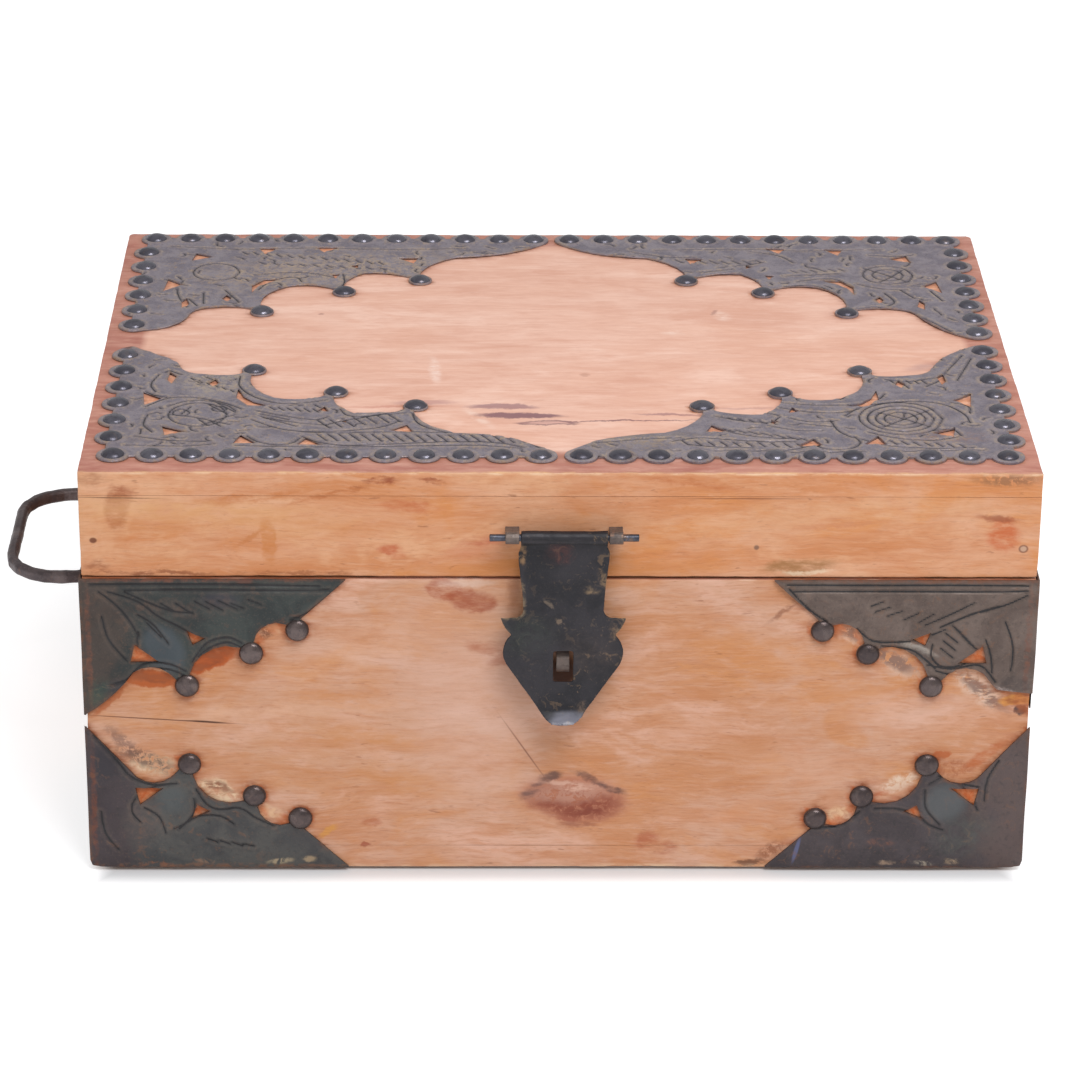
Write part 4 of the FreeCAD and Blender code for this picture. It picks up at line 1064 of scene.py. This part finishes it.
# lines cut into the plates, in millimetres from the chest's left end and from its back or its top
chasedLines = {
    "lid_plate_front_left": readLines("""
20 286.5 45 287.5 62 285 / 72 286.5 90 287.5 120 288 150 287 185 286 206 289 /
103 276 112 283 125 286 150 284 175 282 195 283 208 288 /
103 271 125 271.5 150 270.5 175 271.5 195 274 207 280 216 289 / 77 276 82 282 90 285.5 98 284 102 278 /
82 252 95 258 112 262 120 258 135 252 151 247 / 78 256 90 266 103 270 125 269 140 265 149 257 /
80 245 95 252 108 256 115 252 / 82 249 96 256 / 84 254 100 264 /
26 240 35 231 45 229 55 231 65 236 73 243 / 37 240 45 234 55 233 65 238 70 245 / 38 250 52 254 68 262 /
55 262 62 256 70 250 / 70 201 70 213 75 224 83 232 92 236 104 235 113 231 /
120 243 124 251 132 252 142 248 150 243 / 155 247 157 258 163 266 172 271 / 25 221 30 226 36 229 /
35 195 41 200 / 53 203 58 207 / 36 265 41 270 49 271 / 24 276 40 281 58 282 / 57 238 66 249 /
61 236 70 247 / 48 241 44 250 / 59 258 64 264 / 53 256 58 263 / 28 250 27 262 32 272 /
30 200 27 212 30 222"""),
    "lid_plate_front_right": readLines("""
322 293 345 293.5 368 293 / 380 292.5 400 291 425 290 / 298 292 318 292 334 290 345 284 /
362 250 372 238 385 233 400 232 412 236 420 247 422 258 / 368 278 380 285 400 288 420 287 /
333 233 345 236 358 237 370 235 380 229 384 222 / 332 240 345 245 360 246 370 241 /
278 281 290 277 300 278 320 281 336 281 / 300 264 310 272 325 277 341 278 /
346 278 347 286 353 289.5 362 288.5 367 282 365 275 / 427 172 414 200 / 431 176 421 205 /
414 204 405 213 / 386 204 395 207 405 204 413 201 / 300 250 312 256 325 258 331 251 /
335 252 345 257 358 256 / 325 262 338 268 350 268 / 340 259 355 263 / 379 245 390 253 402 263 /
380 263 390 254 403 243 / 415 233 423 237 423 246 / 372 270 385 277 402 279 414 275 /
403 268 412 266 416 274 / 355 255 358 268 364 276 / 242 283 262 279 282 277 / 285 284 298 287 316 288"""),
    "lid_plate_back_left": readLines("""
73 86 77 76 84 69 92 68 95 74 / 24 70 30 76 36 80 / 38 98 43 108 / 56 86 60 95 64 103 / 34 35 42 36 /
24 22 60 26 100 24 140 26 180 24 / 116 62 117 74 115 82 / 47 111 58 110 68 112 / 95 82 105 84 112 88 /
31 84 33 96 38 110 / 45 90 46 105 / 70 64 85 61 100 62 112 68"""),
    "lid_plate_back_right": readLines("""
268 30 285 36 300 37 / 320 50 330 47 336 44 / 302 58 310 57 319 54 / 330 28 345 34 352 44 /
352 72 362 68 372 68 378 76 380 87 / 345 78 358 77 366 82 370 92 372 100 / 393 33 405 34 416 32 /
388 52 399 62 410 72 / 395 72 402 64 408 55 / 383 75 395 82 408 83 / 396 88 400 100 396 106 /
405 84 411 95 / 420 84 425 98 / 409 117 425 140 / 380 109 390 107 402 112 / 345 64 360 62 375 60 /
280 26 320 24 360 26 400 24"""),
    "corner_plate_front_left_upper": readLines("""
4 57.4 40 57.2 80 57.4 112 58 / 20 60.3 50 60 90 60.2 117 60 / 121 58.5 113 66 106 72 98 76 /
8 61 16 68 22 76 26 84 / 12 61 26 66 36 74 45 79 52 84 / 20 61 30 66 42 71 52 72 / 26 82 25 90 23 97 /
26 73 33 78 40 88 / 30 77 37 85 / 37 67 43 71 / 44 67 51 72 / 53 66 60 70 / 58 66 66 70.5 /
64 65.5 73 70 / 70 67 76 69.5 / 78 65 84 67.5 / 12 110 20 107 28 99 40 99 48 103 /
22 105.5 29 101.8 40 102 47 105 / 51 98 58 88 68 85 75 88 / 54 95 60 90 68 87.6 74 90 / 9 74 12 86 20 97"""),
    "corner_plate_front_left_lower": readLines("""
3 137 14 151 20 159 30 163.5 42 163 / 24 184 20 178 22 171 30 165 42 163 / 50 171 50 178 46 184 40 187.5 /
42 188 51 181 62 180.5 69 185 / 51 166 56 174 62 177 72 176.5 80 182 88 186 / 56 193 61 195 /
62 194 67 196 / 68 195 73 197 / 73 196 78 197 / 5 178 7 190 13 199 / 26 176 33 181 36 190"""),
    "corner_plate_front_right_upper": readLines("""
332 57 370 57.2 410 57 446 57.3 / 335 60.4 380 60.2 420 60.3 446 60 / 328 58.5 339 70 346 76.5 /
333 59 343 70 351 76 / 372 68 378 65.5 / 374 71 381 68.5 / 380 73 387 70.5 / 388 75 395 71.5 /
395 76.5 402 72 / 398 78 410 72 421 66 / 405 79 420 72 432 68 / 424 71 436 67 446 62 /
366 80 373 86 382 87 395 85.5 408 80 / 402 88 402 95 408 100 418 98 424 91 / 408 82 414 87 /
407 86 413 91 / 406 90 412 95 / 378 89 392 91 400 97 404 101 / 400 99 412 101 425 99 433 108 /
404 102 412 104 424 103 430 109 / 427 85 430 94 431 103 / 436 76 440 88 440 102"""),
    "corner_plate_front_right_lower": readLines("""
408 158.5 415 160.5 421 163 428 164.5 / 402 166 403 176 410 185 / 418 162 424 169 428 177 /
378 176.5 390 176.5 399 180 405 185 412 188 / 404 163 410 159 / 437 150 432 160 431 172 /
343 186 360 186 371 178"""),
}
# rows of short strokes: first stroke's start, its run, the step to the next one, how many
strokeRows = {
    "lid_plate_front_left": [((110, 273), (5, 8), (5.2, 0.1), 19), ((110, 257), (6, 9), (5.6, -1.2), 7),
                             ((86, 240), (3, 4), (4.2, 0.6), 6), ((46, 204), (2, 3), (4, 3), 6)],
    "lid_plate_front_right": [((283, 280.5), (3, 4.5), (6, 0.3), 10), ((303, 265), (5, 4), (6, 2.0), 7),
                              ((306, 252), (3, 3), (5, 1.4), 5), ((376, 279), (3, 4), (5.4, 0.6), 8),
                              ((388, 205), (2, 4), (4, 0.2), 5)],
    "lid_plate_back_left": [((62, 30), (3, 4), (6, 1.2), 13), ((72, 46), (3, 3), (7, 0.8), 10)],
    "lid_plate_back_right": [((290, 40), (4, 5), (6, 0.4), 7), ((350, 56), (3, 3), (5, -0.5), 6)],
    "corner_plate_front_right_upper": [((411, 78), (4, 3.4), (1.6, 1.8), 6)],
}
ringsCut = {
    "lid_plate_front_left": [(44, 248, 4), (62, 243, 3.4), (52, 250, 14)],
    "lid_plate_front_right": [(389, 253, 8), (389, 253, 12), (389, 253, 16), (389, 253, 20)],
    "lid_plate_back_left": [(50, 60, 12)],
    "lid_plate_back_right": [(400, 62, 8), (400, 62, 13)],
}
chasing = {
    "wide": 0.0010,
    "frontWide": 0.0015,
    "stroke": 0.0012,
    "nick": 0.0017,
    "narrow": 0.0007,
    "flatness": 0.25,
    "sunk": 0.00024,
}
grooveLooks = dict(frontIron, speckShare=0.15, metal=0.2)
grooveIron = ironFinish("grooveIron", dict(
    grooveLooks, base=(58, 54, 58), other=(48, 45, 49), dark=(34, 32, 36), dustShare=0.2))
frontGroove = ironFinish("frontGrooveIron", dict(
    grooveLooks, base=(30, 27, 30), other=(24, 21, 24), dark=(16, 15, 17), dust=(60, 48, 42)))

# a place on the break, its facing and its reach
brokenTips = {"corner_plate_front_right_upper": ((0.214, -0.1594, 0.0965), (-0.12, 0, -1), 0.028)}
# the outline's worn shape: places, shifts and reaches
bends = {"lid_plate_front_left": [((35, 168), (-4.5, -3.0), 8), ((16, 162), (0, 5.0), 7),
                                  ((40, 178), (-2.2, -1.8), 5)]}


def onPlate(plane, across, down):
    if plane == "top":
        return Vector(((across - 225) * mm, (159 - down * 318 / 316) * mm, 0.2098))
    return Vector(((across - 225) * mm, chest["front"] - 0.0008, (209 - down) * mm))


def cutLines(plane, lines, wide, finish, closed=False):
    # thin tapering lines laid on the plate, each a curve through its points
    clearSelection()
    bpy.ops.curve.primitive_bezier_curve_add()
    drawn = bpy.context.object
    outline = drawn.data
    outline.splines.clear()
    outline.dimensions = "3D"
    outline.resolution_u = 4
    outline.bevel_depth = wide / 2
    outline.bevel_resolution = 0
    for points in lines:
        strand = outline.splines.new("BEZIER")
        strand.bezier_points.add(len(points) - 1)
        strand.use_cyclic_u = closed
        for index, (point, knot) in enumerate(zip(points, strand.bezier_points)):
            knot.co = onPlate(plane, *point)
            knot.handle_left_type = knot.handle_right_type = "AUTO"
            knot.radius = 1.0 if closed or 0 < index < len(points) - 1 else 0.45
    bpy.ops.object.convert(target="MESH")
    drawn = bpy.context.object
    axis, away = (2, 1) if plane == "top" else (1, -1)
    level = onPlate(plane, 0, 0)[axis]
    for vertex in drawn.data.vertices:
        rise = (vertex.co[axis] - level) * chasing["flatness"]
        vertex.co[axis] = level + rise + away * (liftOf(vertex.co) - chasing["sunk"])
    drawn.data.materials.clear()
    drawn.data.materials.append(finish)
    return drawn


def curveAt(t, a, b, c, d):
    # the smooth curve from b to c, at a share t of the way
    return 0.5 * (2 * b + (c - a) * t + (2 * a - 5 * b + 4 * c - d) * t * t
                  + (3 * b - a - 3 * c + d) * t ** 3)


def along(points, step=0.45):
    # a smooth run of places through the points
    ends = [points[0]] + list(points) + [points[-1]]
    places = []
    for before, start, stop, after in zip(ends, ends[1:], ends[2:], ends[3:]):
        pieces = max(2, int(math.dist(start, stop) / step))
        for piece in range(pieces + 1):
            places.append([curveAt(piece / pieces, *corner) for corner in zip(before, start, stop, after)])
    return places


def treeOf(plane, lines):
    return treeFor([onPlate(plane, *spot) for points in lines for spot in along(points)])


def dropLoose(drawn, sheet, plane):
    # what would hang over an opening or past the edge is taken off
    solid = BVHTree.FromObject(sheet, bpy.context.evaluated_depsgraph_get())
    away = Vector((0, 0, 1)) if plane == "top" else Vector((0, -1, 0))
    startEditing(drawn, "VERT")
    pick(drawn, "verts", lambda corner: not solid.ray_cast(corner.co + away * 0.003, -away, 0.0045)[0])
    bpy.ops.mesh.delete(type="VERT")
    stopEditing()


def circle(across, down, radius):
    turns = [turn * math.tau / 8 for turn in range(8)]
    return [(across + radius * math.cos(turn), down + radius * math.sin(turn)) for turn in turns]


def strokeRow(start, run, step, number):
    starts = [(start[0] + step[0] * turn, start[1] + step[1] * turn) for turn in range(number)]
    return [[(across, down), (across + run[0], down + run[1])] for across, down in starts]


looseChasing = {
    "number": 130,
    "shortest": 1.4,
    "longest": 3.2,
    "clearOfLines": 0.0025,
    "clearOfStuds": 0.0088,
    "apart": 3.6,
    "swirl": 26,
}
chaser = random.Random(11)


def looseStrokes(node, drawn):
    # short strokes in the bare places between the drawn lines, turning with a slow swirl
    low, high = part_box(node)
    taken = treeOf("top", drawn)
    strokes, middles = [], []
    for attempt in range(looseChasing["number"] * 8):
        spot = Vector((chaser.uniform(low.x, high.x), chaser.uniform(low.y, high.y), 0.2098))
        across, down = spot.x / mm + 225, (159 - spot.y / mm) * 316 / 318
        angle = 4.5 * noise.noise(spot * looseChasing["swirl"])
        half = chaser.uniform(looseChasing["shortest"], looseChasing["longest"])
        free = (taken.find(spot)[2] > looseChasing["clearOfLines"]
                and seatTree.find(spot)[2] > looseChasing["clearOfStuds"])
        if free and all(math.dist((across, down), middle) > looseChasing["apart"] for middle in middles):
            middles.append((across, down))
            bow = chaser.uniform(-0.6, 0.6)
            reach = (half * math.cos(angle), half * math.sin(angle))
            middle = (across - bow * reach[1], down + bow * reach[0])
            strokes.append([(across - reach[0], down - reach[1]), middle,
                            (across + reach[0], down + reach[1])])
        if len(strokes) == looseChasing["number"]:
            break
    return strokes


for node in lidPlates + cornerPlates:
    onLid = node in lidPlates
    looks = ironLooks.get(node, frontIron)
    name = camel(node)
    plane, outwards = ("top", (0, 0, 1)) if onLid else ("front", (0, -1, 0))
    lines = chasedLines.get(node, [])
    strokes = [stroke for row in strokeRows.get(node, ()) for stroke in strokeRow(*row)]
    rings = [circle(*ring) for ring in ringsCut.get(node, ())]
    everyLine = lines + strokes + [ring + ring[:1] for ring in rings]
    loose = looseStrokes(node, everyLine) if onLid else []
    everyLine += loose
    sheet = makeSheet(node, name, outwards, treeOf(plane, everyLine) if everyLine else None)
    sheet.data.materials.append(ironFinish(name + "Iron", looks, looks.get("marks", ()), plane))
    groove = grooveIron if onLid else frontGroove
    parts = [sheet]
    curves = [line for line in lines if len(line) > 2]
    nicks = [line for line in lines if len(line) == 2]
    for drawing, wide in ((curves, "wide" if onLid else "frontWide"), (strokes, "stroke"), (nicks, "nick"),
                          (rings, "narrow"), (loose, "narrow")):
        if drawing:
            cut = cutLines(plane, drawing, chasing[wide], groove, drawing is rings)
            dropLoose(cut, sheet, plane)
            parts.append(cut)
    sheet = joinPieces(parts, name)
    smoothEdgesOver(sheet, 32)
    giveTo(sheet, "lid" if onLid else "body", "sheet_iron", [], node)
    print("plate", name, len(sheet.data.polygons))
print("sheet iron made")

studMaking = {"rings": 5, "segments": 24, "dent": 0.05, "lidShare": 0.94}
studLooks = tints((104, 102, 112), (78, 76, 86), (44, 40, 46), (120, 110, 106), (116, 98, 88),
                  (120, 116, 118), metal=0.7, smoothest=0.22, roughest=0.38, dents=0.0005,
                  speckShare=0.4, dustShare=0.15)
studIron = ironFinish("studIron", studLooks)
frontStudIron = ironFinish("frontStudIron", dict(
    studLooks, base=(96, 84, 82), other=(70, 60, 60), dust=(122, 104, 92)))


def makeStud(radius, rise):
    # a ball flattened into a dome, its lower half cut away and its rim turned down to the plate
    clearSelection()
    bpy.ops.mesh.primitive_uv_sphere_add(segments=studMaking["segments"],
                                         ring_count=2 * studMaking["rings"], radius=1)
    stud = bpy.context.object
    stud.name = "stud"
    startEditing(stud, "VERT")
    selectAll()
    bpy.ops.mesh.bisect(plane_co=(0, 0, 0.02), plane_no=(0, 0, 1), clear_inner=True, use_fill=True)
    stopEditing()
    stud.location.z = -0.02 * rise
    stud.scale = (radius, radius, rise / 0.98)
    bpy.ops.object.transform_apply(location=True, rotation=False, scale=True)
    return stud


shaper = random.Random(7)
for node, (body, up) in studNodes.items():
    seats = studSeats[node]
    pattern = makeStud(seats[0][1], seats[0][2])
    copies = []
    for seat, radius, rise in seats:
        stud = pattern.copy()
        stud.data = pattern.data.copy()
        bpy.context.scene.collection.objects.link(stud)
        facing = Vector((0, 0, 1)).rotation_difference(Vector(up)).to_matrix().to_4x4()
        spin = Matrix.Rotation(shaper.uniform(0, math.tau), 4, "Z")
        seed = Vector((shaper.uniform(0, 50), shaper.uniform(0, 50), 0))
        squash = shaper.uniform(0.90, 0.99) * (studMaking["lidShare"] if "lid_studs" in node else 1.0)
        for vertex in stud.data.vertices:
            dent = noise.noise(vertex.co * 260 + seed) * studMaking["dent"] * vertex.co.z / rise
            vertex.co *= squash * (0.99 - abs(dent))
        stud.data.transform(Matrix.Translation(seat) @ facing @ spin)
        copies.append(stud)
    bpy.data.objects.remove(pattern)
    name = camel(node)
    studs = joinPieces(copies, name)
    paintValues(studs, "wornEdge", [0.0] * len(studs.data.vertices))
    smoothEdgesOver(studs, 50)
    finish = studIron if "lid" in node else frontStudIron
    giveTo(studs, body, "forged_iron" if "nails" in node else "stud_iron", [finish], node)
print("studs made")


forgedShapes = {    # body, voxel, rounds of smoothing, unevenness and its width, finish
    "hasp_plate": ("hasp", 0.0005, 3, 0.0005, 0.011, "hasp"),
    "hasp_pin": ("lid", 0.0004, 3, 0.0003, 0.006, "bright"),
    "hasp_eye_left": ("lid", 0.00035, 3, 0.0003, 0.005, "brown"),
    "hasp_eye_right": ("lid", 0.00035, 3, 0.0003, 0.005, "brown"),
    "lock_staple": ("body", 0.0004, 2, 0.0003, 0.006, "brown"),
    "left_bail": ("left_handle", 0.0006, 8, 0.0006, 0.009, "bail"),
    "right_bail": ("right_handle", 0.0006, 8, 0.0006, 0.009, "bail"),
}
eyes = [f"{side}_handle_eye_{row}" for side in sides for row in rows]
forgedShapes.update({node: ("body", 0.0004, 3, 0.0003, 0.005, "brown") for node in eyes})
for side in sides:
    for level in ("body", "lid"):
        forgedShapes[f"{side}_hinge_{level}_leaf"] = (level, 0.0006, 3, 0.0004, 0.008, "bail")
forgedShapes.update({f"{side}_hinge_pin": ("body", 0.0005, 3, 0.0003, 0.006, "bail") for side in sides})
# on the hasp, the near-black strokes at height 176.6 are painted shade in the gap under the knuckle's curled
# edge, and the blue-grey patch with a pale streak at 86 is a painted highlight on the lip and its crease
haspMarks = readMarks("""
0 171.5 6 5 0 .5 84 44 42 .75 .2
-17.6 171 1.6 5 0 .4 148 116 84 .75 .1
20.4 157 2 6 18 .5 138 112 84 .7 .1
14.8 153.5 4 2.2 0 .4 146 122 94 .65 .12
.5 136 3.4 1.2 -45 .4 122 104 88 .7 .1
-5.3 146 3.2 .9 -40 .4 112 98 86 .7 .1
27 135 3 6 -18 .5 126 102 80 .6 .1
11 93 3 3 20 .5 124 102 84 .6 .1
-16 130 12 8 10 .7 58 64 58 .6 .3
14 120 12 10 -10 .7 78 66 62 .5 .3
4 86 9 5 0 .4 108 108 120 .85
4 86.5 7 1.2 0 .5 168 166 172 .7 .1
2 180.6 21 .5 0 .6 22 20 24 .8
-8 176.6 12 .7 5 .4 18 16 18 .95 sharp
13 176.6 12 .7 -4 .4 18 16 18 .95 sharp
""")
forgedIrons = {
    "hasp": ironFinish("haspIron", tints(
        (37, 34, 40), (27, 26, 32), (25, 23, 26), (76, 68, 64), (126, 102, 78), (150, 128, 100), metal=0.3,
        smoothest=0.42, roughest=0.62, dents=0.0005, dustShare=0.2, speckShare=0.45), haspMarks),
    "bright": ironFinish("pinIron", tints(
        (78, 80, 92), (52, 54, 64), (34, 34, 38), (130, 122, 116), (120, 96, 80), (150, 150, 154),
        metal=0.6, smoothest=0.28, roughest=0.45)),
    "brown": ironFinish("eyeIron", tints(
        (110, 97, 91), (84, 74, 71), (48, 40, 38), (140, 122, 106), (140, 104, 84), (160, 142, 128),
        metal=0.35, smoothest=0.4, roughest=0.6)),
    "bail": ironFinish("bailIron", tints(
        (104, 92, 92), (84, 74, 76), (52, 44, 44), (136, 122, 118), (124, 92, 80), (132, 116, 112),
        metal=0.45, smoothest=0.36, roughest=0.55, dents=0.0009)),
}


def rubbedEdges(piece):
    # one along the plate's rims, fading over a few steps inwards
    values = []
    for vertex in piece.data.vertices:
        spot = vertex.co
        onRim = abs(vertex.normal.y) < 0.6 and 0.132 < spot.z < 0.175 and abs(spot.x - 0.0016) > 0.009
        values.append(bounded(0.55 + 1.6 * noise.noise(spot * 70)) if onRim else 0.0)
    pairs = [tuple(edge.vertices) for edge in piece.data.edges]
    for step in range(5):
        spread = list(values)
        for first, second in pairs:
            spread[first] = max(spread[first], values[second] - 0.2)
            spread[second] = max(spread[second], values[first] - 0.2)
        values = spread
    return values


for node, (body, voxel, rounds, uneven, width, look) in forgedShapes.items():
    piece = copyNode(node, camel(node))
    applyModifier(piece, "REMESH", mode="VOXEL", voxel_size=voxel)
    applyModifier(piece, "SMOOTH", factor=0.5, iterations=rounds)
    makeUneven(piece, uneven, width)
    rubbed = rubbedEdges(piece) if node == "hasp_plate" else [0.0] * len(piece.data.vertices)
    paintValues(piece, "wornEdge", rubbed)
    if node == "hasp_plate":    # the neck spreads a little under the eyes
        for vertex in piece.data.vertices:
            side = vertex.co.x / mm - 1.6
            spread = bounded((vertex.co.z / mm - 150) / 18) * bounded((174.5 - vertex.co.z / mm) / 3)
            vertex.co.x += math.copysign(1.3 * mm, side) * spread * bounded((abs(side) - 8) / 8)
    takeUp(piece)
    bpy.ops.object.shade_smooth()
    giveTo(piece, body, "forged_iron", [forgedIrons[look]], node)
print("forged pieces made")

stand = {"half": 9.0, "colour": (214, 214, 216), "whiteLift": 0.64, "byFront": 0.0, "drop": 0.0015}
clearSelection()
bpy.ops.mesh.primitive_plane_add(size=2 * stand["half"], location=(0, 0, -stand["drop"]))
floor = bpy.context.object
floor.name = "floor"
floorFinish, floorTree, floorShader = newFinish("floorPaper", roughness=1.0, shine=0.0)
floorShader.inputs["Base Color"].default_value = tone(*stand["colour"])
rays = put(floorTree, "ShaderNodeLightPath", {}).outputs
seen = sums(floorTree, "MAXIMUM", rays["Is Camera Ray"], rays["Is Glossy Ray"])
seen = sums(floorTree, "MAXIMUM", seen, rays["Is Transmission Ray"])
spread = put(floorTree, "ShaderNodeSeparateXYZ", {0: place(floorTree)}).outputs
beside = sums(floorTree, "ABSOLUTE", spread["X"])
front, half, white = chest["front"], chest["halfWidth"], stand["whiteLift"]
# the floor glows white for the camera, but the glow fades to nothing in a band about 22 mm deep in front of
# the chest, along its width, so the floor there is painted darker as shade at the chest's foot
lift = ease(floorTree, spread["Y"], front - 0.022, front - 0.001, white, stand["byFront"])
lift = sums(floorTree, "MAXIMUM", lift, ease(floorTree, beside, half - 0.012, half + 0.004, 0.0, white))
behind = ease(floorTree, spread["Y"], front + 0.002, front + 0.01, 0.0, white)
strength = times(floorTree, seen, sums(floorTree, "MAXIMUM", lift, behind))
glow = put(floorTree, "ShaderNodeEmission", {"Color": (1, 1, 1, 1), "Strength": strength})
both = floorTree.nodes.new("ShaderNodeAddShader")
floorTree.links.new(floorShader.outputs[0], both.inputs[0])
floorTree.links.new(glow.outputs[0], both.inputs[1])
floorTree.links.new(both.outputs[0], floorTree.nodes["Material Output"].inputs["Surface"])
floor.data.materials.append(floorFinish)

lightSettings = {"roomLight": 0.56, "keyPower": 24, "keyPlace": (0.45, -1.0, 1.75), "keySize": 0.9,
                 "fillPower": 4, "fillPlace": (-0.7, -2.2, 0.8), "fillSize": 1.6}
world = bpy.data.worlds.new("room")
bpy.context.scene.world = world
world.use_nodes = True
worldTree = world.node_tree
backdrop = worldTree.nodes["Background"]
backdrop.inputs["Color"].default_value = (1, 1, 1, 1)
worldRays = put(worldTree, "ShaderNodeLightPath", {}).outputs
worldSeen = sums(worldTree, "MAXIMUM", worldRays["Is Camera Ray"], worldRays["Is Transmission Ray"])
strength = ease(worldTree, worldSeen, 0.0, 1.0, lightSettings["roomLight"], 1.0)
feed(worldTree, backdrop.inputs["Strength"], strength)


def addLamp(name, where, size, power):
    clearSelection()
    bpy.ops.object.light_add(type="AREA", location=where)
    lamp = bpy.context.object
    lamp.name = name
    lamp.data.size = size
    lamp.data.energy = power
    lamp.rotation_euler = (Vector((0, 0, 0.1)) - Vector(where)).to_track_quat("-Z", "Y").to_euler()


addLamp("keyLamp", lightSettings["keyPlace"], lightSettings["keySize"], lightSettings["keyPower"])
addLamp("fillLamp", lightSettings["fillPlace"], lightSettings["fillSize"], lightSettings["fillPower"])

view = {
    "place": (-0.03952, -1.9136, 0.97655),
    "looks": (0.015512, 0.909414, -0.415603),
    "roll": 0.0090668,
    "lens": 4120 / 1080 * 36,
}
clearSelection()
bpy.ops.object.camera_add(location=view["place"])
camera = bpy.context.object
camera.name = "camera"
ahead = Vector(view["looks"]).normalized()
flatRight = Vector((ahead.y, -ahead.x, 0)).normalized()
flatUp = flatRight.cross(ahead)
right = flatRight * math.cos(view["roll"]) + flatUp * math.sin(view["roll"])
upward = flatUp * math.cos(view["roll"]) - flatRight * math.sin(view["roll"])
camera.rotation_euler = Matrix((right, upward, -ahead)).transposed().to_euler()
camera.data.lens = view["lens"]
camera.data.sensor_width = 36
camera.data.clip_end = 50
bpy.context.scene.camera = camera
bpy.context.scene.view_settings.view_transform = "Standard"
